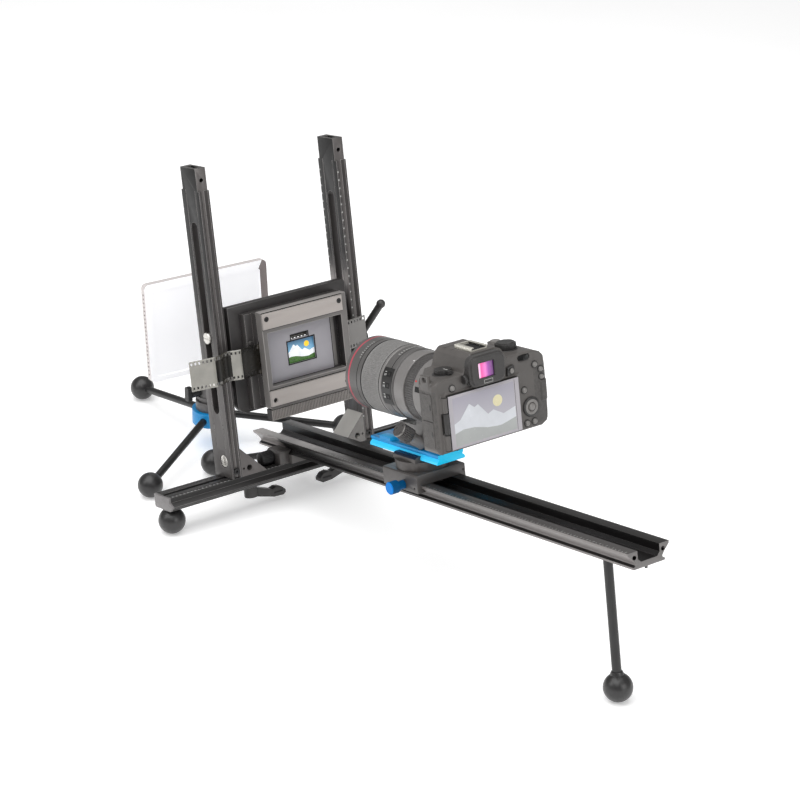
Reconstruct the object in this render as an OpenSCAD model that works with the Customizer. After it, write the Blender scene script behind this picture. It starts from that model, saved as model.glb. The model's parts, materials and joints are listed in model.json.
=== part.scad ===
// Slide duplicator: a tilted dovetail bench with a camera at one end and a film gate
// between two uprights at the other, lit from behind by a flat lamp on a small tripod.
// Bench frame: X across, Y along the long rail toward the film gate, Z along the uprights,
// zero on the top centre of the cross rail. rig() leans that frame back onto the floor.

/* [Bench] */
// Angle between the long rail and the floor
tilt = 10.49; // [10.49:0.01:10.6]
// Height of the cross rail top above the floor
lift = 46.74; // [46:0.01:48]
// Near end of the long rail
rail_near = -635.5; // [-700:0.5:-600]
// Far end of the long rail
rail_far = 49.7; // [40:0.1:60]
// Half length of the cross rail without its end caps
cross_half = 184; // [180:1:220]
// Radius of the ball feet
foot_r = 15.7; // [15:0.1:16]
// Distance of the front leg from the cross rail
leg_y = -570; // [-600:1:-500]

/* [Uprights] */
// Height of the uprights
up_h = 363.6; // [350:0.1:380]
// Inner face of each upright, from the centre plane
up_in = 86.45; // [86.45:0.01:86.6]
// Thickness of an upright
up_t = 13.4; // [13:0.1:14]
// Width of the through slot
slot_w = 13; // [13:0.1:13.4]
// Lower end of the through slot
slot_z0 = 75.5; // [70:0.5:80]
// Upper end of the through slot
slot_z1 = 301; // [290:1:310]

/* [Carriage and plate] */
// Half width of the carriage
car_hw = 32.6; // [32:0.1:34]
// Near face of the carriage
car_y0 = -290.9; // [-295:0.1:-288]
// Far face of the carriage
car_y1 = -227.5; // [-230:0.1:-220]
// Near end of the quick release plate
plate_y0 = -313.1; // [-315:0.1:-300]
// Far end of the quick release plate
plate_y1 = -186.5; // [-200:0.1:-180]

/* [Lens and camera] */
// Height of the optical axis above the cross rail
axis_z = 133.5; // [133.5:0.1:134]
// Outer radius of the lens
lens_r = 40.6; // [40.4:0.1:41]
// Lower face of the camera
cam_z0 = 92; // [91:0.5:93]

/* [Film gate] */
// Left side of the gate frame
gate_x0 = -55.6; // [-56:0.1:-55]
// Right side of the gate frame
gate_x1 = 60.6; // [60:0.1:62]
// Half width of the picture window in the mask
win_hw = 18.2; // [18:0.1:18.6]
// Lower edge of the picture window
win_z0 = 121.9; // [121:0.1:123]
// Upper edge of the picture window
win_z1 = 147.7; // [146:0.1:148]
// Height of the film strip
film_h = 34.9; // [34:0.1:35]

/* [Light] */
// Centre of the light tripod across the bench
lamp_x = -10.4; // [-20:0.1:0]
// Centre of the light tripod behind the cross rail
lamp_y = 171; // [170:0.5:180]
// Distance from the tripod centre to its ball feet
lamp_reach = 162; // [160:1:170]
// Width of the lamp panel
panel_w = 164; // [160:0.5:170]
// Height of the lamp panel
panel_h = 122.8; // [118:0.1:124]

/* [Hidden] */
$fn = 64;
shift_y = 137.53;

up_out = up_in + up_t;
cap_t = 3;

// ---------------------------------------------------------------- placing and shape helpers
module rig() translate([0, shift_y, lift]) rotate([-tilt, 0, 0]) children();
module room() translate([0, shift_y, 0]) children();
module box(x0, x1, y0, y1, z0, z1) translate([x0, y0, z0]) cube([x1 - x0, y1 - y0, z1 - z0]);
module xprism(x0, x1) translate([x0, 0, 0]) rotate([90, 0, 90]) linear_extrude(x1 - x0) children();
module yprism(y0, y1) translate([0, y1, 0]) rotate([90, 0, 0]) linear_extrude(y1 - y0) children();
module xcyl(x0, x1, y, z, r) translate([x0, y, z]) rotate([0, 90, 0]) cylinder(h = x1 - x0, r = r);
module ycyl(y0, y1, x, z, r) translate([x, y0, z]) rotate([-90, 0, 0]) cylinder(h = y1 - y0, r = r);
module zcyl(z0, z1, x, y, r) translate([x, y, z0]) cylinder(h = z1 - z0, r = r);
module rod(a, b, r) {
  d = b - a;
  l = norm(d);
  translate(a) rotate([0, acos(d[2] / l), atan2(d[1], d[0])]) cylinder(h = l, r = r);
}
module both() { children(); mirror([1, 0, 0]) children(); }
module flip(s) { if (s < 0) mirror([1, 0, 0]) children(); else children(); }
// rounded rectangle in two dimensions
module rrect(x0, x1, z0, z1, r) {
  translate([x0 + r, z0]) square([x1 - x0 - 2 * r, z1 - z0]);
  translate([x0, z0 + r]) square([x1 - x0, z1 - z0 - 2 * r]);
  for (x = [x0 + r, x1 - r], z = [z0 + r, z1 - r]) translate([x, z]) circle(r);
}
// a solid of revolution about the optical axis: points are [radius, y]
module yrev(pts) translate([0, 0, axis_z]) rotate([-90, 0, 0]) rotate_extrude($fn = 96) polygon(pts);

// ---------------------------------------------------------------- cross rail and its feet
cross_pts = [[-16.2, 0], [-16.2, -6], [-22.6, -10.2], [-22.6, -11.7], [-19.5, -12.4], [-17, -16],
  [16.2, -16], [16.2, 0]];
module cross_rail() color([0.22, 0.21, 0.21]) rig() difference() {
  xprism(-cross_half, cross_half) polygon(cross_pts);
  for (y = [-10.8, 10.8]) box(-cross_half - 1, cross_half + 1, y - 0.8, y + 0.8, -0.9, 1);
  box(-cross_half - 1, cross_half + 1, -4, 4, -2.6, 1);
}
module cross_rail_end_caps() color([0.45, 0.44, 0.44]) rig() both()
  xprism(cross_half, cross_half + cap_t) polygon(cross_pts);

module foot_balls() color([0.12, 0.12, 0.12]) rig() both() difference() {
  union() {
    translate([176.7, 0, -31.57]) sphere(foot_r);
    zcyl(-24, -16, 176.7, 0, 8);
  }
  box(150, 200, -20, 20, -16, 0);
}

leg_a = [15.7, 10.4, 6.05];
leg_b = [56, 100, -13.05];
module rear_leg_rods() color([0.15, 0.15, 0.15]) rig() both() rod(leg_a, leg_b, 4);
module rear_leg_balls() color([0.12, 0.12, 0.12]) rig() both() difference() {
  translate(leg_b) sphere(foot_r);
  rod(leg_a, leg_b, 4);
}

// ---------------------------------------------------------------- uprights
module upright(s) color([0.25, 0.24, 0.24]) rig() flip(s) difference() {
  union() {
    linear_extrude(up_h - 26) polygon([[up_in, -16], [up_in + 2.1, -16], [up_in + 5.1, -13],
      [up_in + 8.3, -13], [up_in + 11.3, -16], [up_out, -16], [up_out, 22], [up_in + 11.3, 22],
      [up_in + 8.3, 19], [up_in + 5.1, 19], [up_in + 2.1, 22], [up_in, 22]]);
    box(up_in, up_out, -13, 19, up_h - 26, up_h);
  }
  // the through slot that the stage screws run in
  box(up_in - 1, up_out + 1, 3 - slot_w / 2, 3 + slot_w / 2, slot_z0 + slot_w / 2, slot_z1 - slot_w / 2);
  for (z = [slot_z0 + slot_w / 2, slot_z1 - slot_w / 2]) xcyl(up_in - 1, up_out + 1, 3, z, slot_w / 2);
  // fine grooves along both flanks
  for (y = [-7.4, 12.4]) {
    box(up_in - 1, up_in + 0.45, y - 0.45, y + 0.45, -1, up_h - 26);
    box(up_out - 0.45, up_out + 1, y - 0.45, y + 0.45, 36, up_h - 26);
  }
  // threaded hole near the top, socket screw seat and side recess at the foot
  ycyl(-14, 0, up_in + up_t / 2, up_h - 14, 2.5);
  ycyl(-17, -11, up_in + up_t / 2, 7.7, 3.4);
  xcyl(up_out - 2.5, up_out + 1, 0, 19, 8);
  // hollow at the top end
  box(up_in + 3.4, up_out - 3.4, -6, 12, up_h - 4, up_h + 1);
}
module left_upright() upright(-1);
module right_upright() upright(1);

module foot_bracket(s) color([0.24, 0.23, 0.23]) rig() flip(s) difference() {
  yprism(-16, 16) polygon([[53.2, 0], [up_in, 0], [up_in, 34]]);
  ycyl(-17, 17, 76, 8.6, 3.5);
  ycyl(-17, -11, 83.6, 9, 1.4);
}
module left_foot_bracket() foot_bracket(-1);
module right_foot_bracket() foot_bracket(1);

module foot_fasteners() color([0.7, 0.7, 0.68]) rig() both() {
  difference() {
    ycyl(-15.6, -11, up_in + up_t / 2, 7.7, 3.4);
    translate([up_in + up_t / 2, -16, 7.7]) rotate([-90, 0, 0]) cylinder(h = 2.6, r = 1.8, $fn = 6);
  }
  difference() {
    xcyl(up_out - 2.5, up_out - 0.5, 0, 19, 7);
    box(up_out - 1.3, up_out, -0.9, 0.9, 13.5, 24.5);
  }
  zcyl(-30, -16, 69, 0, 3);
}

// ---------------------------------------------------------------- clamp that holds the long rail
module rail_clamp_base() color([0.26, 0.25, 0.25]) rig() difference() {
  union() {
    box(-22, 30, -22, 22, 0, 10.25);
    yprism(-22, 22) polygon([[20.65, 10.25], [20.65, 12.75], [17.65, 14.45], [17.65, 15.5],
      [30, 15.5], [30, 10.25]]);
  }
  xcyl(-23, -6, 0, 8.6, 1.56);
  both() rod(leg_a, leg_b, 4);
}
module rail_clamp_jaw() color([0.24, 0.23, 0.23]) rig() difference() {
  yprism(-16, 12) polygon([[-34.3, 0.3], [-22.3, 0.3], [-22.3, 10.6], [-20.65, 10.6],
    [-20.65, 12.75], [-17.65, 14.45], [-17.65, 15.5], [-31.5, 15.5], [-34.3, 12.7]]);
  xcyl(-35, -20, 0, 8.6, 1.56);
}
module rail_clamp_knob() color([0.11, 0.11, 0.11]) rig() {
  translate([-52.5, 0, 8.6]) rotate([0, 90, 0]) cylinder(h = 2, r1 = 6.1, r2 = 8.1);
  xcyl(-50.5, -36.6, 0, 8.6, 8.1);
  translate([-36.6, 0, 8.6]) rotate([0, 90, 0]) cylinder(h = 2, r1 = 8.1, r2 = 6.6);
  xcyl(-34.6, -9, 0, 8.6, 1.5);
}

// ---------------------------------------------------------------- ratchet levers under the feet
module foot_lever(s) color([0.16, 0.16, 0.16]) rig() flip(s) difference() {
  union() {
    zcyl(-32, -16.3, 69, 0, 7.85);
    yprism(-5.2, 5.2) polygon([[66, -20.5], [42, -29.3], [36.5, -27.4], [30, -28.6], [24.6, -33.4],
      [24.4, -37], [28, -39.5], [41, -38.8], [66, -31.8]]);
  }
  zcyl(-31, -15, 69, 0, 3.06);
}
module left_foot_lever() foot_lever(-1);
module right_foot_lever() foot_lever(1);

// ---------------------------------------------------------------- long rail and front leg
module long_rail() color([0.2, 0.19, 0.19]) rig() difference() {
  union() {
    yprism(rail_near, rail_far) polygon([[26.7, 28.9], [26.7, 26.6], [20.4, 20.3], [17.3, 16],
      [17.3, 14.3], [20.35, 12.6], [20.35, 10.3], [-20.35, 10.3], [-20.35, 12.6], [-17.3, 14.3],
      [-17.3, 16], [-20.4, 20.3], [-26.7, 26.6], [-26.7, 28.9], [-14.1, 28.9], [-14.1, 20.3],
      [-10.5, 16.7], [10.5, 16.7], [14.1, 20.3], [14.1, 28.9]]);
    zcyl(7.3, 10.4, -2, rail_near + 3, 1.6);
  }
  both() ycyl(rail_near - 1, rail_near + 15, 18.5, 22.8, 2.5);
}
module front_leg() color([0.15, 0.15, 0.15]) rig() zcyl(-131, 10.3, 0, leg_y, 5);
module front_leg_ball() color([0.12, 0.12, 0.12]) rig() difference() {
  translate([0, leg_y, -137.1]) sphere(foot_r);
  zcyl(-131, -100, 0, leg_y, 5);
}

// ---------------------------------------------------------------- carriage, riser and clamp
knob_y = -265.5;
module carriage() color([0.24, 0.23, 0.23]) rig() difference() {
  yprism(car_y0, car_y1) polygon([[-car_hw, 21], [-car_hw, 39.6], [-car_hw + 1.4, 41],
    [car_hw - 1.4, 41], [car_hw, 39.6], [car_hw, 21], [21.55, 21], [26.95, 26.4], [26.95, 29.15],
    [-26.95, 29.15], [-26.95, 26.4], [-21.55, 21]]);
  xcyl(-car_hw - 1, -26, knob_y, 27.5, 3.05);
  ycyl(car_y0 - 1, car_y0 + 5, 29.8, 33.5, 1.2);
  xcyl(-car_hw - 1, -car_hw + 3, car_y0 + 5.5, 26.2, 1.2);
}
module carriage_riser() color([0.24, 0.23, 0.23]) rig()
  translate([0, -259.5, 41]) cylinder(h = 11, r1 = 30, r2 = 31);
module carriage_lock_knob() color([0.05, 0.42, 0.72]) rig() {
  translate([-52.6, knob_y, 27.5]) rotate([0, 90, 0]) cylinder(h = 1, r1 = 6.2, r2 = 7.2);
  xcyl(-51.6, -41.5, knob_y, 27.5, 7.2);
  xcyl(-41.5, -32.8, knob_y, 27.5, 5);
  xcyl(-32.8, -27.3, knob_y, 27.5, 3);
}
qr_y0 = -282;
qr_y1 = -241;
module qr_clamp_base() color([0.04, 0.13, 0.3]) rig() difference() {
  union() {
    box(-26, 38, qr_y0, qr_y1, 52, 54.1);
    yprism(qr_y0, qr_y1) polygon([[-26, 54.1], [-26, 56.4], [-23.4, 58.6], [-17.6, 58.6],
      [-18.95, 57.15], [-18.95, 54.1]]);
    box(33.9, 38, -269, -245, 54.1, 62.5);
  }
  xcyl(33, 39, -257, 57.3, 2.06);
}
module qr_clamp_jaw() color([0.04, 0.13, 0.3]) rig() yprism(qr_y0, qr_y1)
  polygon([[30, 54.25], [30, 56.4], [27.4, 58.6], [17.6, 58.6], [18.95, 57.15], [18.95, 54.25]]);
module qr_clamp_knob() color([0.1, 0.1, 0.1]) rig() {
  xcyl(30.2, 38.4, -257, 57.3, 2);
  xcyl(38.4, 48.5, -257, 57.3, 9);
  translate([48.5, -257, 57.3]) rotate([0, 90, 0]) cylinder(h = 1.5, r1 = 9, r2 = 7.5);
}
module qr_plate() color([0.08, 0.55, 0.9]) rig() difference() {
  union() {
    yprism(plate_y0, plate_y1) polygon([[-18.6, 54.3], [-18.6, 57], [-15.5, 60], [-16.8, 62],
      [-16.8, 64.5], [16.8, 64.5], [16.8, 62], [15.5, 60], [18.6, 57], [18.6, 54.3]]);
    box(-16.8, -6, -224, -204, 64.4, 68);
  }
  for (x = [-10, 10]) box(x - 0.7, x + 0.7, plate_y0 - 1, plate_y1 + 1, 63.7, 64.6);
}

// ---------------------------------------------------------------- lens collar with its foot
ck_u = [-0.76, 0, 0.65];
ck_a = [-26.2, -278, 82.5];
module lens_collar() color([0.32, 0.31, 0.31]) rig() difference() {
  union() {
    yrev([[30, -290.2], [38, -290.2], [38.6, -289.6], [38.6, -272.8], [38, -272.2], [30, -272.2]]);
    xprism(-12.5, 12.5) polygon([[-304, 64.5], [-304, 72], [-293, 84], [-290.2, 88], [-290.2, 104],
      [-272.2, 104], [-272.2, 91.5], [-269, 90.2], [-240, 90.2], [-236, 86], [-236, 64.5]]);
    rod(ck_a - 20 * ck_u, ck_a - 0.3 * ck_u, 6.4);
  }
  translate([0, -300, axis_z]) rotate([-90, 0, 0]) cylinder(h = 40, r = 34.06);
  rod(ck_a - 12 * ck_u, ck_a + 2 * ck_u, 2.56);
  box(-40, 40, -290, -260, 50, 64.5);
}
module collar_knob() color([0.14, 0.14, 0.14]) rig() {
  rod(ck_a - 11 * ck_u, ck_a + 1 * ck_u, 2.5);
  rod(ck_a, ck_a + 18.5 * ck_u, 8.8);
  rod(ck_a + 18.5 * ck_u, ck_a + 19.5 * ck_u, 8.2);
}

// ---------------------------------------------------------------- lens
module lens_barrel() color([0.3, 0.29, 0.29]) rig()
  yrev([[0, -331], [35, -331], [36.6, -327], [36.6, -305.1], [34, -305.1], [34, -271.9],
    [38, -271.9], [39.5, -270.5], [39.5, -251.2], [40.2, -250.4], [40.2, -246.6], [38, -246.6],
    [38, -213.5], [lens_r, -213.5], [lens_r, -198], [lens_r - 0.4, -197.6], [lens_r, -197.2],
    [lens_r, -184.1], [lens_r - 0.8, -183.3], [36.5, -183.3], [34, -190], [34, -196], [0, -196]]);
module front_glass() color([0.1, 0.12, 0.2]) rig()
  yrev([[0, -196], [33.9, -196], [33.9, -193], [28, -190.6], [16, -188.7], [0, -188]]);
module focus_ring() color([0.14, 0.14, 0.14]) rig()
  yrev([[38.06, -246.3], [40.2, -246.3], [lens_r, -245.9], [lens_r, -214.2], [40.2, -213.8],
    [38.06, -213.8]]);
module control_ring() color([0.14, 0.14, 0.14]) rig()
  yrev([[34.06, -304.8], [36.6, -304.8], [37.2, -304.2], [37.2, -291.2], [36.6, -290.6],
    [34.06, -290.6]]);

// ---------------------------------------------------------------- camera
hinge_x = -55.8;
hinge_y = -390.4;
dial_x = 56.8;
dial_z = 115.5;
buttons = [[-43, 159.5, 3.1], [65.8, 160, 3], [73, 153.5, 2.8], [73.6, 145, 2.8],
  [49.6, 135.3, 3.1], [50, 98.6, 3.1], [60, 98.6, 3.1]];
module camera_body() color([0.22, 0.21, 0.21]) rig() difference() {
  union() {
    intersection() {
      yprism(-388, -316) polygon([[-64, cam_z0], [70, cam_z0], [77, 96], [81, 106], [82.5, 124], [82.8, 150],
        [82, 158], [79, 167], [74, 172.5], [66, 175.6], [61, 175.8], [31, 175.8], [24, 187], [17, 190.5],
        [-15, 190.5], [-21, 186], [-27, 171], [-60, 170], [-66, 166], [-67, 161], [-67, 96]]);
      translate([0, 0, 80]) linear_extrude(130) polygon([[-67, -385], [-67, -362.5], [-62, -357],
        [-50, -347], [-40, -336], [-36, -331], [40, -331], [50, -329], [58, -318], [70, -316], [78, -322],
        [82.8, -366], [82.8, -383], [78, -388], [-63, -388]]);
    }
    // strap lug
    box(-67, -63, -380, -366, 158, 176.5);
    // screen hinge posts on the rear face
    zcyl(cam_z0 + 2.5, 112.8, hinge_x, hinge_y, 3);
    zcyl(135.8, 153.5, hinge_x, hinge_y, 3);
    zcyl(112, 136.5, hinge_x, hinge_y, 1.2);
    box(hinge_x - 3, hinge_x + 3, hinge_y, -387.5, cam_z0 + 2.5, 112.8);
    box(hinge_x - 3, hinge_x + 3, hinge_y, -387.5, 135.8, 153.5);
    // boss of the rear dial
    ycyl(-390, -387.5, dial_x, dial_z, 5);
    // rings round the two dials on top
    zcyl(175.5, 176.2, 51, -360, 6);
  }
  // strap hole
  box(-68, -62, -376.5, -369.5, 169.5, 174);
  // clearance behind the moving hinge knuckle
  zcyl(112.8, 135.8, hinge_x, hinge_y, 3.3);
  // set button well, other button wells, shutter well
  ycyl(-391, -386, dial_x, dial_z, 4.1);
  for (b = buttons) ycyl(-389, -386, b[0], b[1], b[2] + 0.06);
  zcyl(172.4, 177, 62, -327, 5.56);
  // slot of the thumb dial
  zcyl(167.6, 173.4, 52.5, -381, 9.9);
  // bored seats of the top dials
  zcyl(170, 177, 51, -360, 3.06);
  zcyl(166, 172, -37, -366, 3.06);
}
module eyecup() color([0.1, 0.1, 0.1]) rig() difference() {
  union() {
    yprism(-396, -388) rrect(-25, 21.5, 155.5, 189, 9);
    yprism(-399, -396) rrect(-23, 19.5, 157.5, 187, 8);
  }
  yprism(-400, -397) rrect(-15.2, 6.2, 164.4, 181.6, 1.5);
}
module hot_shoe() color([0.75, 0.75, 0.73]) rig() difference() {
  box(-11.5, 9.5, -384, -355, 190.5, 194.6);
  box(-7.5, 5.5, -386, -357, 192, 196);
  box(-9.8, 7.8, -386, -357, 192, 193.5);
}
module camera_screen() color([0.62, 0.62, 0.65]) rig() difference() {
  union() {
    box(-52.2, 40.3, -392.2, -388.3, 94.8, 153);
    zcyl(113.1, 135.5, hinge_x, hinge_y, 3);
    box(hinge_x, -52.1, -391.6, -389.2, 113.1, 135.5);
  }
  zcyl(110, 140, hinge_x, hinge_y, 1.27);
}
module mode_dial() color([0.15, 0.15, 0.15]) rig() {
  zcyl(176.5, 183, 51, -360, 11.5);
  zcyl(183, 184, 51, -360, 9.5);
  zcyl(171, 176.5, 51, -360, 3);
}
module thumb_dial() color([0.1, 0.1, 0.1]) rig() zcyl(167.9, 173.1, 52.5, -381, 9.6);
module rear_dial() color([0.16, 0.16, 0.16]) rig() difference() {
  ycyl(-389.9, -388.2, dial_x, dial_z, 11);
  ycyl(-391, -387, dial_x, dial_z, 5.06);
}
module set_button() color([0.3, 0.3, 0.3]) rig() ycyl(-390.8, -387, dial_x, dial_z, 4.04);
module back_buttons() color([0.25, 0.25, 0.25]) rig()
  for (b = buttons) ycyl(-389.2, -386.9, b[0], b[1], b[2]);
module shutter_button() color([0.2, 0.2, 0.2]) rig() zcyl(173.8, 178, 62, -327, 5.5);
module power_switch() color([0.15, 0.15, 0.15]) rig() {
  zcyl(171.3, 176, -37, -366, 9.5);
  box(-40, -34, -380, -360, 172.4, 175.4);
  zcyl(167, 171.3, -37, -366, 3);
}

// ---------------------------------------------------------------- film stage between the uprights
module stage_rear_frame() color([0.16, 0.15, 0.15]) rig() difference() {
  union() {
    yprism(-15, -5) {
      polygon([[-81, 85], [-81, 199], [79, 199], [81, 197], [81, 85], [69, 73], [-69, 73]]);
      for (x = [-69, 69]) translate([x, 85]) circle(12);
    }
    // carriers that meet the uprights
    both() box(68, 86.2, -5, 16, 104, 176);
  }
  yprism(-16, -4) rrect(-50, 50, 92, 178, 4);
  both() xcyl(78, 87, 3, 165.6, 3.9);
  xcyl(78, 87, 3, 120, 3.9);
  xcyl(-87, -78, 3, 113.7, 3.9);
}
module stage_tunnel() color([0.18, 0.17, 0.17]) rig() difference() {
  union() {
    box(gate_x0, gate_x1, -33.9, -31.3, 80, 115.5);
    box(gate_x0, gate_x1, -33.9, -31.3, 157.5, 190);
    box(gate_x0, gate_x1, -31.3, -24, 80, 190);
    // plate behind the front block, with rounded long edges
    linear_extrude(189) polygon([[-65.5, -15], [-65.5, -21.5], [-64.6, -23.3], [-63, -24], [63, -24],
      [64.6, -23.3], [65.5, -21.5], [65.5, -15]]);
    both() ycyl(-26.4, -23, 60.5, 155, 2.3);
  }
  box(-70, 70, -32, -14, -1, 77);
  box(-50, 50, -27, -14, 92, 178);
  box(-22, 22, -32, -26, 119.5, 150.5);
}
module gate_frame() color([0.33, 0.32, 0.31]) rig() difference() {
  yprism(-45, -33.9) {
    polygon([[gate_x0, 79.5], [gate_x0, 192], [gate_x1, 192], [gate_x1, 79.5], [gate_x1 - 2, 77.5],
      [gate_x0 + 2, 77.5]]);
  }
  box(-49.4, 52.2, -46, -33, 104, 167);
}
module gate_bars() color([0.62, 0.6, 0.57]) rig() difference() {
  union() {
    box(-55.3, 54.3, -47, -45, 172, 190.6);
    box(-55.3, 54.3, -47.5, -45, 81.3, 99.6);
  }
  both() {
    ycyl(-48, -44, 49.8, 184, 2.55);
    ycyl(-48, -44, 49.6, 88.3, 2.75);
  }
}
module gate_feed_bar() color([0.3, 0.29, 0.28]) rig() box(-55.6, 56, -46, -35, 65, 77.4);
module film_mask() color([0.5, 0.5, 0.54]) rig() difference() {
  box(-49.2, 42, -35.4, -33.9, 104.3, 166.3);
  box(-win_hw - 0.4, win_hw - 0.4, -36, -33, win_z0, win_z1);
  box(-13, 10, -36, -33, 150.5, 155);
}
module gate_screws() color([0.3, 0.3, 0.3]) rig() both() difference() {
  ycyl(-47.3, -45, 49.8, 184, 2.5);
  translate([49.8, -47.4, 184]) rotate([-90, 0, 0]) cylinder(h = 1.4, r = 1.3, $fn = 6);
}
// slotted screws that run in the upright slots
module slot_screw(x1, z) difference() {
  union() {
    xcyl(78, 87, 3, z, 3.9);
    xcyl(87, x1 - 1.6, 3, z, 6.2);
    translate([x1 - 1.65, 3, z]) rotate([0, 90, 0]) cylinder(h = 1.65, r1 = 7, r2 = 6.4);
  }
  box(x1 - 0.8, x1 + 1, -5, 11, z - 0.7, z + 0.7);
}
module stage_screws() color([0.75, 0.74, 0.72]) rig() {
  mirror([1, 0, 0]) { slot_screw(101.8, 165.6); slot_screw(101.8, 113.7); }
  slot_screw(101.8, 165.6);
  xcyl(78, 109, 3, 120, 3.9);
  xcyl(87, 99.4, 3, 120, 6.2);
}
module stage_lever() color([0.16, 0.16, 0.16]) rig() difference() {
  union() {
    xcyl(100.15, 113, 3, 120, 8);
    rod([108, -1, 126], [122, -25, 161], 4.4);
    translate([122, -25, 161]) sphere(5.4);
  }
  xcyl(99, 110, 3, 120, 3.97);
}

// film strip: one pass of straight film through the gate, with loose waves to the left
film_y = -32.6;
wave = [[-148, -31.5], [-138, -33], [-126, -35.6], [-116, -37.4], [-110, -36.6], [-104, -32],
  [-99, -28.8], [-94, -29], [-88, -32], [-82, -34.4], [-76, -34.2], [-71, -33.1], [-66, film_y],
  [-40, film_y], [0, film_y], [40, film_y], [66, film_y], [73, -31.6], [82, -29.6], [96, -27.4]];
function mid(a, b) = (a + b) / 2;
// one step of corner cutting makes the hand-set path smooth
function soft(p) = [p[0], for (i = [0 : len(p) - 2]) each [p[i] * 0.75 + p[i + 1] * 0.25,
  p[i] * 0.25 + p[i + 1] * 0.75], p[len(p) - 1]];
function side(p, t) = [for (i = [0 : len(p) - 1])
  let (a = p[max(0, i - 1)], b = p[min(len(p) - 1, i + 1)], d = (b - a) / norm(b - a))
  p[i] + t * [-d[1], d[0]]];
function rev(p) = [for (i = [len(p) - 1 : -1 : 0]) p[i]];
module film_strip() color([0.42, 0.41, 0.38]) rig() {
  path = soft(wave);
  translate([0, 0, 119]) linear_extrude(film_h) polygon(concat(side(path, 0.15), rev(side(path, -0.15))));
}

// ---------------------------------------------------------------- lamp on its tripod
function leg_pt(a, r) = [lamp_x + r * cos(a), lamp_y + r * sin(a), 15 + (lamp_reach - r) * 0.169];
lamp_angles = [91, 211, 331];
module light_hub() color([0.05, 0.5, 0.8]) room() difference() {
  zcyl(30, 48, lamp_x, lamp_y, 24.5);
  for (a = lamp_angles) rod(leg_pt(a, 12), leg_pt(a, 60), 4.5);
}
module light_legs() color([0.13, 0.13, 0.13]) room()
  for (a = lamp_angles) rod(leg_pt(a, 12), leg_pt(a, lamp_reach - 6), 4.5);
module light_balls() color([0.12, 0.12, 0.12]) room() for (a = lamp_angles) difference() {
  translate(leg_pt(a, lamp_reach)) sphere(15);
  rod(leg_pt(a, 100), leg_pt(a, lamp_reach - 6), 4.5);
}
module light_column() color([0.35, 0.34, 0.34]) room() {
  zcyl(48, 60, lamp_x, lamp_y, 20);
  zcyl(60, 62, lamp_x, lamp_y, 17);
}
ball_z = 86;
module light_pan_head() color([0.33, 0.32, 0.32]) room() difference() {
  union() {
    zcyl(62.2, 82, lamp_x, lamp_y, 18);
    zcyl(82, 84, lamp_x, lamp_y, 16.5);
    zcyl(64, 67, lamp_x, lamp_y, 19.5);
  }
  translate([lamp_x, lamp_y, ball_z]) sphere(12.58);
  xcyl(lamp_x - 19, lamp_x - 10, lamp_y, 74, 3.06);
}
module head_knob() color([0.14, 0.14, 0.14]) room() {
  xcyl(lamp_x - 31, lamp_x - 12, lamp_y, 74, 3);
  xcyl(lamp_x - 30, lamp_x - 18.4, lamp_y, 74, 6);
  difference() {
    xcyl(lamp_x - 36, lamp_x - 30, lamp_y, 74, 9);
    box(lamp_x - 37, lamp_x - 29, lamp_y - 10, lamp_y - 4.2, 60, 90);
    box(lamp_x - 37, lamp_x - 29, lamp_y + 4.2, lamp_y + 10, 60, 90);
  }
}
by = lamp_y * cos(tilt) - (ball_z - lift) * sin(tilt);
bz = lamp_y * sin(tilt) + (ball_z - lift) * cos(tilt);
panel_cx = -13.5;
panel_cz = 145.3;
pw = panel_w / 2;
ph = panel_h / 2;
// the lamp panel stands a little turned and a little more upright than the stage
module in_panel() rig() translate([panel_cx, 145, panel_cz]) rotate([6.2, 0, -4.5]) children();
module light_head() color([0.3, 0.29, 0.29]) {
  rig() {
    translate([lamp_x, by, bz]) sphere(12.5);
    zcyl(bz + 8, 84, lamp_x, by, 4.6);
  }
  in_panel() box(-11, 17, 9, 17, -66, -34);
}
module light_panel() color([0.85, 0.85, 0.87]) in_panel() {
  difference() {
    yprism(0, 9) rrect(-pw, pw, -ph, ph, 6);
    yprism(-1, 3) rrect(-pw + 9.5, pw - 9.5, -ph + 6.5, ph - 10.5, 2);
    for (z = [-ph + 10 : 5 : ph - 10]) xcyl(-pw - 1, -pw + 1.4, 4.5, z, 1.2);
  }
  box(-pw + 9.5, pw - 9.5, 1.5, 3, -ph + 6.5, ph - 10.5);
}

cross_rail();
cross_rail_end_caps();
foot_balls();
rear_leg_rods();
rear_leg_balls();
left_upright();
right_upright();
left_foot_bracket();
right_foot_bracket();
foot_fasteners();
rail_clamp_base();
rail_clamp_jaw();
rail_clamp_knob();
left_foot_lever();
right_foot_lever();
long_rail();
front_leg();
front_leg_ball();
carriage();
carriage_riser();
carriage_lock_knob();
qr_clamp_base();
qr_clamp_jaw();
qr_clamp_knob();
qr_plate();
lens_collar();
collar_knob();
lens_barrel();
front_glass();
focus_ring();
control_ring();
camera_body();
eyecup();
hot_shoe();
camera_screen();
mode_dial();
thumb_dial();
rear_dial();
set_button();
back_buttons();
shutter_button();
power_switch();
stage_rear_frame();
stage_tunnel();
gate_frame();
gate_bars();
gate_feed_bar();
film_mask();
gate_screws();
stage_screws();
stage_lever();
film_strip();
light_hub();
light_legs();
light_balls();
light_column();
light_pan_head();
light_head();
head_knob();
light_panel();
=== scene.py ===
import bpy, bmesh, math, json
from mathutils import Matrix, Vector

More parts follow.
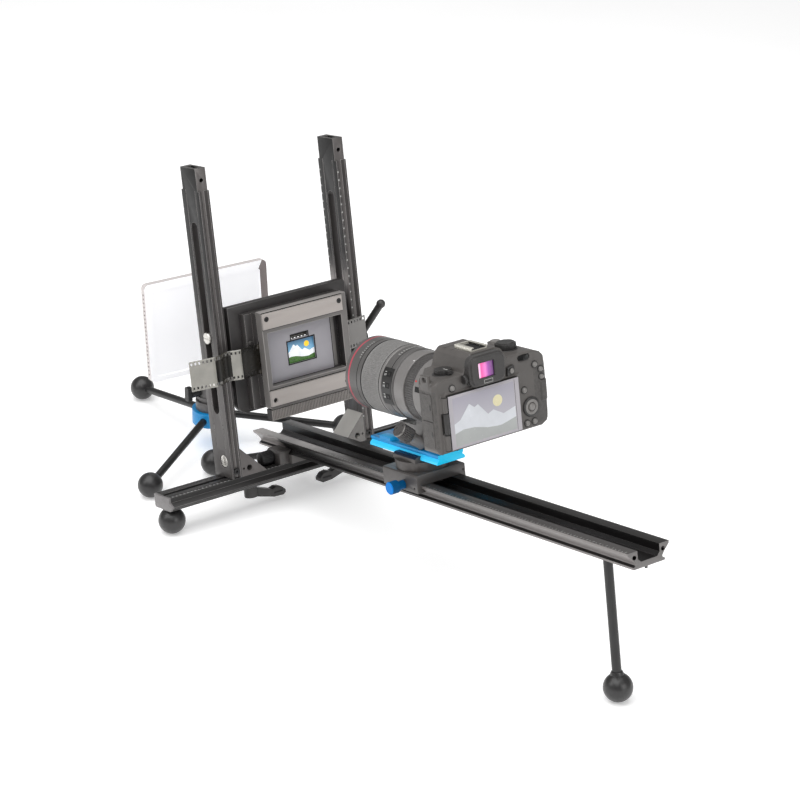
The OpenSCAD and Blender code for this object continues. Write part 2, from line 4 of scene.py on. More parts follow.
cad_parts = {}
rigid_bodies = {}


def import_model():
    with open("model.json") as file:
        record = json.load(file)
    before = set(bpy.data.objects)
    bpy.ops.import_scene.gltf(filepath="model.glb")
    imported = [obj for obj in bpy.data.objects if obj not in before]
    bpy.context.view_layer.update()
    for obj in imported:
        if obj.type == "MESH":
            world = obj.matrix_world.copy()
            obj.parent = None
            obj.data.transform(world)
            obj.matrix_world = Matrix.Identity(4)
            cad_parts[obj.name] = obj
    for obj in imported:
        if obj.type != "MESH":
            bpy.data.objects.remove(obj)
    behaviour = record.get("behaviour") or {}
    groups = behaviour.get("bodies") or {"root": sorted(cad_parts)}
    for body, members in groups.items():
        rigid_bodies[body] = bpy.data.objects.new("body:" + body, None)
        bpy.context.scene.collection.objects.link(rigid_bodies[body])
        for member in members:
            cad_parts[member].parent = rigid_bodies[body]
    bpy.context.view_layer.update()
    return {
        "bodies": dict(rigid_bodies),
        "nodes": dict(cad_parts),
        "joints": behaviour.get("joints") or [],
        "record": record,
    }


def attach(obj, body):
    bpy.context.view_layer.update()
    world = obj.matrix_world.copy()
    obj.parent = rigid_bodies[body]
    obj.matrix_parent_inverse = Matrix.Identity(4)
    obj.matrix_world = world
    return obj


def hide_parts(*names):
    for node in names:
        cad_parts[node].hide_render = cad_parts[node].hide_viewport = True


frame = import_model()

RIG = (Matrix.Translation((0, 0.13753, 0.04674)) @ Matrix.Rotation(math.radians(-10.49), 4, "X")
       @ Matrix.Diagonal((0.001, 0.001, 0.001, 1)))
ROOM = Matrix.Translation((0, 0.13753, 0)) @ Matrix.Diagonal((0.001, 0.001, 0.001, 1))
UNRIG = RIG.inverted()
BODY = {n: b for b, ns in frame["record"]["behaviour"]["bodies"].items() for n in ns}
SLOT = {s["node"]: s["material_slot"] for s in frame["record"]["subparts"]}

# ------------------------------------------------------------------ camera
R = Matrix(((0.81027976, -0.57802878, -0.09658906), (-0.23428963, -0.16843373, -0.95746459),
            (0.53717323, 0.79844399, -0.27190459)))
T = Vector((-120.34, 65.42, 3170.0))
cpos = RIG @ (-(R.transposed() @ T))
rot = RIG.to_3x3().normalized()
right, up, back = rot @ R[0], rot @ -R[1], rot @ -R[2]
cam = bpy.data.cameras.new("photo_camera")
cam.lens, cam.sensor_width, cam.clip_end = 121.44, 36, 50
cam_o = bpy.data.objects.new("photo_camera", cam)
bpy.context.scene.collection.objects.link(cam_o)
m = Matrix((right.normalized(), up.normalized(), back.normalized())).transposed().to_4x4()
m.translation = cpos
cam_o.matrix_world = m
bpy.context.scene.camera = cam_o


# ------------------------------------------------------------------ materials
def lin(c):
    return tuple(x / 12.92 if x <= 0.04045 else ((x + 0.055) / 1.055) ** 2.4 for x in c)


def mat(name, srgb, rough=0.4, metal=0.0, var=0.12, scale=45, rvar=0.08, grain=1400, bump=0.12,
        depth=0.0001, stretch=(1, 1, 1), coat=0.0, spec=0.5, pattern="noise", emit=0.0, sheen=0.0,
        coat_rough=0.1, trans=0.0):
    ma = bpy.data.materials.new(name)
    ma.use_nodes = True
    nt = ma.node_tree
    b = nt.nodes["Principled BSDF"]
    L = nt.links.new
    tc = nt.nodes.new("ShaderNodeTexCoord")
    mp = nt.nodes.new("ShaderNodeMapping")
    mp.inputs["Scale"].default_value = stretch
    L(tc.outputs["Object"], mp.inputs["Vector"])
    n1 = nt.nodes.new("ShaderNodeTexNoise")
    n1.inputs["Scale"].default_value = scale
    n1.inputs["Detail"].default_value = 6
    L(mp.outputs["Vector"], n1.inputs["Vector"])
    ramp = nt.nodes.new("ShaderNodeValToRGB")
    c = lin(srgb)
    ramp.color_ramp.elements[0].position = 0.3
    ramp.color_ramp.elements[1].position = 0.7
    ramp.color_ramp.elements[0].color = (*[x * (1 - var) for x in c], 1)
    ramp.color_ramp.elements[1].color = (*[min(1, x * (1 + var)) for x in c], 1)
    L(n1.outputs["Fac"], ramp.inputs["Fac"])
    L(ramp.outputs["Color"], b.inputs["Base Color"])
    n2 = nt.nodes.new("ShaderNodeTexNoise")
    n2.inputs["Scale"].default_value = scale * 5
    n2.inputs["Detail"].default_value = 4
    L(mp.outputs["Vector"], n2.inputs["Vector"])
    mr = nt.nodes.new("ShaderNodeMapRange")
    mr.inputs["From Min"].default_value = 0.3
    mr.inputs["From Max"].default_value = 0.7
    mr.inputs["To Min"].default_value = max(0.02, rough - rvar)
    mr.inputs["To Max"].default_value = min(1, rough + rvar)
    L(n2.outputs["Fac"], mr.inputs["Value"])
    L(mr.outputs["Result"], b.inputs["Roughness"])
    if pattern == "voronoi":
        g = nt.nodes.new("ShaderNodeTexVoronoi")
        out = g.outputs["Distance"]
    else:
        g = nt.nodes.new("ShaderNodeTexNoise")
        g.inputs["Detail"].default_value = 3
        out = g.outputs["Fac"]
    g.inputs["Scale"].default_value = grain
    L(mp.outputs["Vector"], g.inputs["Vector"])
    bp = nt.nodes.new("ShaderNodeBump")
    bp.inputs["Strength"].default_value = bump
    bp.inputs["Distance"].default_value = depth
    L(out, bp.inputs["Height"])
    L(bp.outputs["Normal"], b.inputs["Normal"])
    b.inputs["Metallic"].default_value = metal
    b.inputs["Specular IOR Level"].default_value = spec
    b.inputs["Coat Weight"].default_value = coat
    b.inputs["Coat Roughness"].default_value = coat_rough
    b.inputs["Sheen Weight"].default_value = sheen
    b.inputs["Transmission Weight"].default_value = trans
    if emit:
        L(ramp.outputs["Color"], b.inputs["Emission Color"])
        b.inputs["Emission Strength"].default_value = emit
    return ma


def gradient(name, axis, stops, rough=0.2, emit=0.0, coat=0.0, noise=0.0, scale=120, spec=0.5, metal=0.0):
    """colour that changes along a rig axis given in mm: stops are (mm, srgb)"""
    ma = mat(name, stops[0][1], rough=rough, coat=coat, spec=spec, metal=metal, bump=0.012, rvar=0.04)
    nt = ma.node_tree
    b = nt.nodes["Principled BSDF"]
    L = nt.links.new
    tc = nt.nodes.new("ShaderNodeTexCoord")
    dot = nt.nodes.new("ShaderNodeVectorMath")
    dot.operation = "DOT_PRODUCT"
    d = rot @ Vector(axis)
    dot.inputs[1].default_value = d
    L(tc.outputs["Object"], dot.inputs[0])
    mr = nt.nodes.new("ShaderNodeMapRange")
    off = (RIG @ Vector((0, 0, 0))).dot(d)
    mr.inputs["From Min"].default_value = off + stops[0][0] / 1000
    mr.inputs["From Max"].default_value = off + stops[-1][0] / 1000
    L(dot.outputs["Value"], mr.inputs["Value"])
    fac = mr.outputs["Result"]
    if noise:
        n = nt.nodes.new("ShaderNodeTexNoise")
        n.inputs["Scale"].default_value = scale
        L(tc.outputs["Object"], n.inputs["Vector"])
        ad = nt.nodes.new("ShaderNodeMath")
        ad.operation = "MULTIPLY_ADD"
        ad.inputs[1].default_value = noise
        L(n.outputs["Fac"], ad.inputs[0])
        L(fac, ad.inputs[2])
        fac = ad.outputs["Value"]
    rp = nt.nodes.new("ShaderNodeValToRGB")
    span = stops[-1][0] - stops[0][0]
    els = rp.color_ramp.elements
    els[0].position, els[0].color = 0, (*lin(stops[0][1]), 1)
    els[1].position, els[1].color = 1, (*lin(stops[-1][1]), 1)
    for p, c in stops[1:-1]:
        e = els.new((p - stops[0][0]) / span)
        e.color = (*lin(c), 1)
    L(fac, rp.inputs["Fac"])
    L(rp.outputs["Color"], b.inputs["Base Color"])
    if emit:
        L(rp.outputs["Color"], b.inputs["Emission Color"])
        b.inputs["Emission Strength"].default_value = emit
    return ma


M = {}
M["rail"] = mat("anodised_rail", (0.075, 0.070, 0.069), 0.34, 0.1, 0.15, 20, 0.05, 900, 0.04, stretch=(1, 0.12, 1), spec=0.4)
M["cross"] = mat("anodised_cross", (0.135, 0.13, 0.128), 0.36, 0.15, 0.12, 20, 0.05, 900, 0.04, stretch=(0.12, 1, 1), spec=0.4)
M["upright_hi"] = mat("anodised_upright_light", (0.36, 0.345, 0.34), 0.36, 0.3, 0.14, 22, 0.07, 900, 0.10, stretch=(1, 1, 0.12))
M["bracket"] = mat("anodised_bracket", (0.42, 0.41, 0.40), 0.42, 0.1, 0.08, 40, 0.06, 1300, 0.08)
M["slope"] = mat("bracket_slope_painted_highlight", (0.72, 0.71, 0.69), 0.45, 0.1, 0.05, 40, 0.06, 1300, 0.08)
M["upright"] = mat("anodised_upright", (0.255, 0.243, 0.24), 0.36, 0.3, 0.14, 22, 0.07, 900, 0.10, stretch=(1, 1, 0.12))
# painted shade up the uprights' side faces, lighter low down and dark higher up; the inner one also has a painted
# highlight band between z 185 and 215
M["up_side"] = gradient("upright_flank_painted_shade", (0, 0, 1), [(0, (0.310, 0.299, 0.295)), (120, (0.330, 0.318, 0.314)), (165, (0.270, 0.261, 0.257)), (215, (0.110, 0.106, 0.105)), (250, (0.070, 0.068, 0.067)), (340, (0.060, 0.058, 0.057))], 0.40, noise=0.03, scale=60, spec=0.3)
M["up_inner"] = gradient("upright_flank_inner_painted_light", (0, 0, 1), [(0, (0.300, 0.289, 0.286)), (150, (0.320, 0.309, 0.305)), (185, (0.500, 0.482, 0.476)), (200, (0.600, 0.579, 0.571)), (215, (0.320, 0.309, 0.305)), (235, (0.100, 0.097, 0.095)), (340, (0.060, 0.058, 0.057))], 0.38, noise=0.03, scale=60, spec=0.3)
# painted reflection: the rail's top and flank colours ramp between light and dark along the rail, standing in for the
# light falling on them
M["rail_top_painted_reflection"] = gradient("rail_top_painted_reflection", (0, 1, 0),
                         [(-632, (0.270, 0.261, 0.257)), (-420, (0.220, 0.212, 0.209)), (-240, (0.220, 0.212, 0.209)), (-150, (0.190, 0.183, 0.181)), (-95, (0.320, 0.309, 0.305)), (-45, (0.500, 0.482, 0.476)), (30, (0.600, 0.579, 0.571))], 0.34, noise=0.03, scale=30, spec=0.35)
M["rail_under_painted_reflection"] = gradient("rail_under_painted_reflection", (0, 1, 0),
                           [(-632, (0.500, 0.482, 0.476)), (-420, (0.470, 0.454, 0.447)), (-330, (0.420, 0.405, 0.400)), (-200, (0.360, 0.347, 0.343)), (-120, (0.200, 0.193, 0.190)), (-60, (0.100, 0.097, 0.095)), (0, (0.100, 0.097, 0.095)), (3.5, (0.620, 0.598, 0.590)), (60, (0.680, 0.656, 0.647))], 0.36, noise=0.02, scale=30, spec=0.35)
# lighter colours for the bevelled edges: partly edge wear, partly a painted highlight along the edges
M["edge"] = mat("worn_edge_and_painted_highlight", (0.50, 0.49, 0.485), 0.34, 0.7, 0.22, 60, 0.1, 1500, 0.12)
M["edge_dk"] = mat("worn_edge_dark_and_painted_highlight", (0.36, 0.352, 0.35), 0.36, 0.6, 0.22, 60, 0.1, 1500, 0.12)
M["cut"] = mat("cut_metal", (0.62, 0.61, 0.60), 0.36, 0.75, 0.12, 50, 0.1, 1800, 0.15, stretch=(1, 0.1, 1))
M["cap"] = mat("end_cap", (0.47, 0.46, 0.46), 0.42, 0.5, 0.1, 60, 0.08)
M["ball"] = mat("ball_lacquer", (0.135, 0.131, 0.132), 0.38, 0.0, 0.2, 60, 0.06, 500, 0.03, coat=0.15, coat_rough=0.25)
M["rod"] = mat("rod_lacquer", (0.14, 0.138, 0.138), 0.34, 0.15, 0.15, 60, 0.06, 900, 0.04)
M["steel"] = mat("brushed_steel", (0.78, 0.77, 0.75), 0.28, 0.95, 0.1, 90, 0.1, 1800, 0.2, stretch=(1, 1, 6))
M["knurl"] = mat("knob_knurl", (0.33, 0.32, 0.315), 0.30, 0.3, 0.1, 70, 0.08, 1300, 0.06)
M["knurl_hi"] = mat("knob_rim", (0.50, 0.49, 0.48), 0.28, 0.4, 0.1, 70, 0.08, 1300, 0.06)
M["black"] = mat("moulded_black", (0.10, 0.10, 0.102), 0.42, 0.0, 0.25, 70, 0.1, 1300, 0.15)
# near-black colour put in slots, seams, gaps and recesses as painted shade
M["hole"] = mat("hole_dark", (0.03, 0.03, 0.03), 0.7, 0.0, 0.2, 80)
M["lever"] = mat("lever_black", (0.20, 0.195, 0.192), 0.38, 0.1, 0.15, 60, 0.08, 1000, 0.08)
M["carriage"] = mat("anodised_carriage", (0.31, 0.298, 0.292), 0.36, 0.2, 0.1, 50, 0.06, 1200, 0.06)
M["riser"] = mat("anodised_riser", (0.30, 0.284, 0.276), 0.40, 0.2, 0.1, 50, 0.06, 1200, 0.06)
# one anodised blue in lit and shaded copies, all with a faint painted glow: lighter end and flank colours as painted
# highlight, a darker one as painted shade
M["blue"] = mat("anodised_blue_painted_glow", (0.14, 0.68, 0.92), 0.36, 0.0, 0.05, 50, 0.05, 1500, 0.02, emit=0.12)
M["blue_end_lit"] = mat("anodised_blue_end_painted_highlight", (0.04, 0.80, 0.98), 0.34, 0.1, 0.04, 60, 0.05, 1500, 0.02, emit=0.16)
M["blue_hi"] = mat("anodised_blue_flank_painted_highlight", (0.20, 0.78, 0.98), 0.36, 0.0, 0.05, 60, 0.05, 1500, 0.02, emit=0.16)
M["blue_dk"] = mat("anodised_blue_painted_shade", (0.015, 0.52, 0.76), 0.36, 0.0, 0.06, 50, 0.05, 1500, 0.02, emit=0.06)
M["knob_side"] = mat("blue_knob_side_painted_shade", (0.004, 0.29, 0.47), 0.42, 0.0, 0.06, 50, 0.05, 1500, 0.02, spec=0.12)
M["knob_end"] = mat("blue_knob_end_painted_highlight", (0.03, 0.47, 0.80), 0.42, 0.0, 0.05, 50, 0.05, 1500, 0.02, spec=0.15)
M["hub"] = mat("hub_blue_painted_glow", (0.01, 0.53, 0.78), 0.34, 0.1, 0.06, 50, 0.05, 1500, 0.03, emit=0.04)
M["navy"] = mat("anodised_navy", (0.03, 0.12, 0.22), 0.30, 0.3, 0.1, 50, 0.05, 1500, 0.03)
M["lens"] = mat("lens_paint", (0.345, 0.338, 0.334), 0.38, 0.1, 0.06, 60, 0.05, 2600, 0.06)
M["lens_hi"] = mat("lens_paint_light", (0.46, 0.45, 0.445), 0.38, 0.1, 0.06, 60, 0.05, 2600, 0.06)
M["lens_dk"] = mat("lens_paint_dark_and_groove_shade", (0.13, 0.127, 0.126), 0.40, 0.1, 0.1, 60, 0.05, 2600, 0.06)
M["focus"] = mat("focus_rubber", (0.47, 0.465, 0.46), 0.5, 0.0, 0.12, 300, 0.08, 1300, 0.35)
M["grip"] = mat("ribbed_rubber", (0.27, 0.262, 0.26), 0.45, 0.0, 0.14, 80, 0.08, 1800, 0.15)
M["red"] = mat("red_ring", (0.70, 0.27, 0.33), 0.35, 0.1, 0.06, 60)
M["glass"] = mat("coated_glass", (0.10, 0.09, 0.16), 0.05, 0.0, 0.3, 12, 0.02, 200, 0.0, coat=1.0, coat_rough=0.02, spec=0.9)
M["body"] = mat("camera_shell", (0.315, 0.302, 0.293), 0.42, 0.0, 0.08, 60, 0.05, 2600, 0.14)
M["leather"] = mat("camera_leather", (0.285, 0.275, 0.268), 0.55, 0.0, 0.20, 260, 0.08, 620, 0.9, depth=0.00025, pattern="voronoi")
M["body_dk"] = mat("camera_dark", (0.17, 0.164, 0.162), 0.40, 0.0, 0.12, 80, 0.06, 2400, 0.1)
M["rubber"] = mat("eyecup_rubber", (0.19, 0.183, 0.18), 0.5, 0.0, 0.12, 70, 0.06, 1600, 0.12, sheen=0.1)
M["button"] = mat("button_dome", (0.46, 0.45, 0.44), 0.30, 0.0, 0.08, 80, 0.05, 2000, 0.06)
M["white"] = mat("printed_white", (0.86, 0.86, 0.85), 0.5, 0.0, 0.05, 100)
M["grey_mark"] = mat("printed_grey", (0.62, 0.62, 0.61), 0.5, 0.0, 0.12, 300)
M["reddot"] = mat("printed_red", (0.80, 0.12, 0.12), 0.45, 0.0, 0.05, 100)
M["stage"] = mat("anodised_stage", (0.20, 0.192, 0.19), 0.40, 0.2, 0.12, 45, 0.06, 1100, 0.08)
M["tunnel"] = mat("anodised_tunnel", (0.235, 0.226, 0.223), 0.38, 0.2, 0.12, 45, 0.06, 1100, 0.08)
M["gate"] = mat("anodised_gate", (0.42, 0.408, 0.40), 0.38, 0.15, 0.06, 40, 0.05, 1300, 0.08)
M["gate_hi"] = mat("anodised_gate_top_painted_highlight", (0.56, 0.545, 0.535), 0.38, 0.15, 0.06, 40, 0.05, 1300, 0.08)
M["bar"] = mat("anodised_bar", (0.66, 0.632, 0.615), 0.38, 0.15, 0.05, 40, 0.05, 1500, 0.08, stretch=(0.15, 1, 1))
M["feed"] = mat("feed_ribs", (0.56, 0.54, 0.525), 0.42, 0.1, 0.1, 60)
M["mask"] = mat("mask_paint", (0.60, 0.59, 0.61), 0.42, 0.1, 0.04, 30, 0.05, 1500, 0.06)
# a lighter film colour used as painted glare on the film sections that face the light
M["clear"] = mat("film_painted_glare", (0.52, 0.51, 0.48), 0.20, 0.0, 0.15, 50, 0.05, 300, 0.02, coat=0.6, coat_rough=0.1, spec=0.8)
M["film_r"] = mat("film_grey", (0.43, 0.42, 0.41), 0.22, 0.0, 0.08, 50, 0.05, 300, 0.02, coat=0.4, coat_rough=0.15)
M["film"] = mat("film_base", (0.24, 0.225, 0.20), 0.16, 0.0, 0.2, 60, 0.04, 300, 0.02, coat=0.7, coat_rough=0.08, spec=0.8)
# dark picture colour of the frames, also used as painted shade on one film section
M["frame"] = mat("film_picture_and_painted_shade", (0.09, 0.08, 0.062), 0.3, 0.0, 0.4, 40, 0.04, 300, 0.01, coat=0.08, coat_rough=0.2, spec=0.25)
M["lamp"] = mat("lamp_paint", (0.36, 0.352, 0.35), 0.40, 0.1, 0.1, 60)
M["pframe"] = mat("panel_frame", (0.52, 0.485, 0.48), 0.42, 0.1, 0.06, 50, 0.05, 1500, 0.08)
M["pedge"] = mat("panel_edge", (0.80, 0.775, 0.77), 0.40, 0.1, 0.05, 50)
M["pface"] = mat("panel_diffuser", (0.97, 0.97, 0.98), 0.5, 0.0, 0.01, 30, emit=0.25)


# ------------------------------------------------------------------ mesh builder
class G:
    def __init__(s):
        s.v, s.f, s.m = [], [], []

    def add(s, vs, fs, m=0):
        b = len(s.v)
        s.v += [Vector(p) for p in vs]
        for i, f in enumerate(fs):
            s.f.append([b + k for k in f])
            s.m.append(m[i] if isinstance(m, list) else m)
        return s

    def box(s, x0, x1, y0, y1, z0, z1, m=0):
        vs = [(x, y, z) for x in (x0, x1) for y in (y0, y1) for z in (z0, z1)]
        return s.add(vs, [(0, 1, 3, 2), (4, 6, 7, 5), (0, 4, 5, 1), (2, 3, 7, 6), (0, 2, 6, 4), (1, 5, 7, 3)], m)

    def prism(s, pts, a0, a1, axis, m=0):
        put = {"x": lambda a, p: (a, p[0], p[1]), "y": lambda a, p: (p[0], a, p[1]), "z": lambda a, p: (p[0], p[1], a)}[axis]
        n = len(pts)
        vs = [put(a0, p) for p in pts] + [put(a1, p) for p in pts]
        fs = [tuple(range(n)), tuple(range(2 * n - 1, n - 1, -1))]
        fs += [(i, (i + 1) % n, n + (i + 1) % n, n + i) for i in range(n)]
        return s.add(vs, fs, m)

    def rev(s, prof, o, d, n=72, m=0, teeth=None, closed=False):
        """prof: (radius, distance along d[, tooth depth]); m may be a list, one per segment"""
        o, d = Vector(o), Vector(d).normalized()
        a = d.orthogonal().normalized()
        if abs(d.z) < 0.9:
            a = Vector((0, 0, 1)).cross(d).normalized()
        b = d.cross(a)
        vs, fs, ms = [], [], []
        for p in prof:
            r, t = p[0], p[1]
            dep = p[2] if len(p) > 2 else 0
            for j in range(n):
                q = 2 * math.pi * j / n
                rr = r
                if dep:
                    rr -= dep * (0.5 - 0.5 * math.cos(2 * math.pi * j / teeth)) if isinstance(teeth, int) else 0
                vs.append(o + d * t + (a * math.cos(q) + b * math.sin(q)) * rr)
        k = len(prof)
        for i in range(k if closed else k - 1):
            i2 = (i + 1) % k
            for j in range(n):
                j2 = (j + 1) % n
                fs.append((i * n + j, i * n + j2, i2 * n + j2, i2 * n + j))
                ms.append(m[i] if isinstance(m, list) else m)
        if not closed:
            fs.append(tuple(range(n)))
            fs.append(tuple(range((k - 1) * n, k * n)))
            ms += [m[0] if isinstance(m, list) else m, m[-1] if isinstance(m, list) else m]
        return s.add(vs, fs, ms)

    def sphere(s, o, r, n=40, m=0):
        prof = [(max(1e-3, r * math.sin(math.pi * i / (n // 2))), -r * math.cos(math.pi * i / (n // 2))) for i in range(n // 2 + 1)]
        return s.rev(prof, o, (0, 0, 1), n, m)


def finish_mesh(bm, name, mats, body, ang, weld=0.0):
    me = bpy.data.meshes.new(name)
    bm.to_mesh(me)
    bm.free()
    for ma in mats:
        me.materials.append(M[ma] if isinstance(ma, str) else ma)
    for p in me.polygons:
        p.use_smooth = True
    me.set_sharp_from_angle(angle=math.radians(ang))
    ob = bpy.data.objects.new(name, me)
    bpy.context.scene.collection.objects.link(ob)
    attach(ob, body)
    return ob


def mk(name, g, mats, body, frame=RIG, bevel=0.0, seg=2, ang=32, emat=-1, rep=()):
    bm = bmesh.new()
    vs = [bm.verts.new(p) for p in g.v]
    bm.verts.ensure_lookup_table()
    for f, mi in zip(g.f, g.m):
        try:
            bm.faces.new([vs[i] for i in f]).material_index = mi
        except ValueError:
            pass
    bmesh.ops.remove_doubles(bm, verts=bm.verts, dist=1e-4)
    bmesh.ops.recalc_face_normals(bm, faces=bm.faces)
    if bevel:
        es = [e for e in bm.edges if len(e.link_faces) == 2 and e.calc_face_angle(0) > math.radians(ang)]
        bmesh.ops.bevel(bm, geom=es, offset=bevel, segments=seg, profile=0.6, affect="EDGES",
                        clamp_overlap=True, material=emat)
    bmesh.ops.transform(bm, matrix=frame, verts=bm.verts)
    ob = finish_mesh(bm, name, mats, body, ang)
    if rep:
        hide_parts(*rep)
    return ob


def cad_bm(node, lim=0.6):
    bm = bmesh.new()
    bm.from_mesh(frame["nodes"][node].data)
    bmesh.ops.remove_doubles(bm, verts=bm.verts, dist=2e-6)
    bmesh.ops.dissolve_degenerate(bm, dist=1e-7, edges=bm.edges)
    bmesh.ops.dissolve_limit(bm, angle_limit=math.radians(lim), verts=bm.verts, edges=bm.edges)
    bmesh.ops.recalc_face_normals(bm, faces=bm.faces)
    return bm


def dress(node, mats, bevel=0.3, seg=2, ang=28, emat=-1, pick=None, name=None):
    """a cleaned copy of a CAD node with softened edges; pick(centre in rig mm, normal in rig) gives a material"""
    bm = cad_bm(node)
    for f in bm.faces:
        f.material_index = pick(UNRIG @ f.calc_center_median(), rot.transposed() @ f.normal) if pick else 0
    if bevel:
        es = [e for e in bm.edges if len(e.link_faces) == 2 and e.calc_face_angle(0) > math.radians(ang)]
        if es:
            bmesh.ops.bevel(bm, geom=es, offset=bevel / 1000, segments=seg, profile=0.6, affect="EDGES",
                            clamp_overlap=True, material=emat)
    ob = finish_mesh(bm, name or "v_" + node, mats, BODY[node], ang)
    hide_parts(node)
    return ob


# ------------------------------------------------------------------ rails, uprights, feet
dress("cross_rail", ["cross", "edge_dk"], 0.35, emat=1)
dress("cross_rail_end_caps", ["cap"], 0.4)
def up_pick(c, n):
    if n.x < -0.9:
        return 3
    if abs(n.y) > 0.9 and (-14.5 < c.y < -12.5 or 18.5 < c.y < 20):
        return 2
    return 0


# index 3, the faces looking toward -X, takes the painted shade ramp; on the right upright it also carries the painted
# highlight band
dress("left_upright", ["upright", "edge", "upright_hi", "up_side"], 0.4, emat=1, pick=up_pick)
dress("right_upright", ["upright", "edge", "upright_hi", "up_inner"], 0.4, emat=1, pick=up_pick)
dress("left_foot_bracket", ["upright_hi", "edge"], 0.3, emat=1)
# the sloped face looking up and to the left gets a much lighter copy of the bracket colour as a painted highlight
dress("right_foot_bracket", ["bracket", "edge", "slope"], 0.3, emat=1,
      pick=lambda c, n: 2 if n.z > 0.3 and n.x < -0.3 else 0)
dress("foot_fasteners", ["steel", "black"], 0.15,
      pick=lambda c, n: 1 if c.y < -10 else 0)
dress("rail_clamp_base", ["carriage", "edge_dk"], 0.4, emat=1)
dress("rail_clamp_jaw", ["carriage", "edge_dk"], 0.4, emat=1)
dress("left_foot_lever", ["lever", "edge_dk"], 0.6, 3)
dress("right_foot_lever", ["lever", "edge_dk"], 0.6, 3)
# faces by pick: the near top (2) and the flanks and undercuts (3) take the painted reflection ramps, and the far top
# (4) a lighter copy of the rail colour as painted light
def rail_pick(c, n):
    if n.z > 0.9 and c.z > 28:
        return 2 if c.x < 0 else 4
    if n.y < -0.9 and c.z > 8:
        return 5
    if (n.z < -0.3 and abs(n.x) > 0.3) or (abs(n.x) > 0.9 and (abs(c.x) > 17)):
        return 3
    return 0


M["rail_far"] = mat("rail_top_far_painted_light", (0.14, 0.134, 0.131), 0.36, 0.1, 0.12, 20, 0.05, 900, 0.04, stretch=(1, 0.12, 1), spec=0.35)
M["rail_end"] = mat("rail_end_face", (0.42, 0.41, 0.405), 0.40, 0.2, 0.06, 60, 0.06, 900, 0.05)
dress("long_rail", ["rail", "edge", "rail_top_painted_reflection", "rail_under_painted_reflection", "rail_far", "rail_end"], 0.35, emat=1, pick=rail_pick)
dress("rear_leg_rods", ["rod"], 0)
dress("front_leg", ["rod"], 0)
dress("light_legs", ["rod"], 0)

# dark slot lines in each lever: painted shade inside the slots
for s, b in ((-1, "left_lever"), (1, "right_lever")):
    g = G()
    for yy in (-5.28, 5.28):
        xa, xb = sorted((s * 28.5, s * 40.5))
        g.box(xa, xb, yy - 0.12, yy + 0.12, -34.8, -32.9)
    mk("lever_slot_" + ("left" if s < 0 else "right"), g, ["hole"], b)
g = G()
for s in (-1, 1):
    g.sphere((s * 176.7, 0, -31.57), 15.7, 48)
    g.rev([(8, -24), (8, -19), (9.5, -16.6), (9.5, -16.05)], (s * 176.7, 0, 0), (0, 0, 1), 40)
mk("v_foot_balls", g, ["ball"], "base", rep=("foot_balls",))
g = G()
for s in (-1, 1):
    g.sphere((s * 56, 100, -13.05), 15.7, 48)
mk("v_rear_leg_balls", g, ["ball"], "base", rep=("rear_leg_balls",))
g = G().sphere((0, -570, -137.1), 15.7, 48)
g.rev([(7.2, -126.5), (7.2, -122), (6, -119.5), (5.1, -119.5)], (0, -570, 0), (0, 0, 1), 32)
mk("v_front_leg_ball", g, ["ball"], "bench", rep=("front_leg_ball",))

# scale ticks in the groove of each upright, on the cross rail and on the long rail
g = G()
for i in range(0, 32):
    z = 30 + i * 9.5
    g.box(86.7, 88.4, -16.06, -15.9, z - 0.9, z + 0.9)
    g.box(86.38, 86.5, 19.4, 21.6, z - 0.9, z + 0.9)
for i in range(-36, 37):
    x = i * 5
    if not 84 < abs(x) < 102:
        g.box(x - 1.3, x + 1.3, -15.7, -15.1, 0.0, 0.06)
        g.box(x - 0.3, x + 0.3, -15.1, -13.2 if i % 2 else -12.4, 0.0, 0.06)
mk("scale_marks", g, ["grey_mark"], "base")
g = G()
for i in range(0, 133):
    y = -630 + i * 5
    w = 3.0 if i % 2 == 0 else 1.7
    g.box(-25.5, -25.5 + w, y - 0.35, y + 0.35, 28.9, 28.95)
mk("rail_scale_marks", g, ["grey_mark"], "bench")

# knobs with flutes
g = G()
g.rev([(2, 0), (6.1, 0), (7.2, 0.7), (7.9, 2.2, 0.35), (8.1, 3.2, 0.55), (8.1, 14.6, 0.55), (7.9, 15.6, 0.4), (6.8, 17.4), (1.5, 17.9)],
      (-52.5, 0, 8.6), (1, 0, 0), 144, teeth=6)
g.rev([(1.5, 17), (1.5, 43)], (-52.5, 0, 8.6), (1, 0, 0), 24, m=1)
mk("v_rail_clamp_knob", g, ["black", "steel"], "clamp_knob", ang=40, rep=("rail_clamp_knob",))
g = G()
# the knob's end face takes a lighter blue as a painted highlight, and its side a darker blue as painted shade
g.rev([(1, 0), (6.0, 0), (7.0, 0.9), (7.2, 1.2, 0.35), (7.2, 10.3, 0.35), (7.0, 10.9), (5, 11.1), (5, 19.6), (3, 19.8), (3, 25.2), (1, 25.3)],
      (-52.6, -265.5, 27.5), (1, 0, 0), 160, teeth=5, m=[1, 1, 1, 0, 0, 0, 0, 0, 0, 0])
mk("v_carriage_lock_knob", g, ["knob_side", "knob_end"], "carriage_knob", ang=40, rep=("carriage_lock_knob",))
g = G()
g.rev([(2, 0), (2, 8.2), (8.6, 8.2), (9, 9, 0.5), (9, 18, 0.5), (8.6, 18.8), (7.5, 19.8), (1, 19.8)],
      (30.2, -257, 57.3), (1, 0, 0), 144, teeth=6)
mk("v_qr_clamp_knob", g, ["black"], "qr_knob", ang=40, rep=("qr_clamp_knob",))

# ------------------------------------------------------------------ carriage and quick release
dress("carriage", ["carriage", "edge"], 0.5, emat=1)
dress("carriage_riser", ["riser", "edge_dk"], 0.5, emat=1)
for nd in ("qr_clamp_base", "qr_clamp_jaw"):
    dress(nd, ["riser", "edge_dk", "navy"], 0.3, emat=-1, pick=lambda c, n: 2 if c.z > 55.5 else 0)
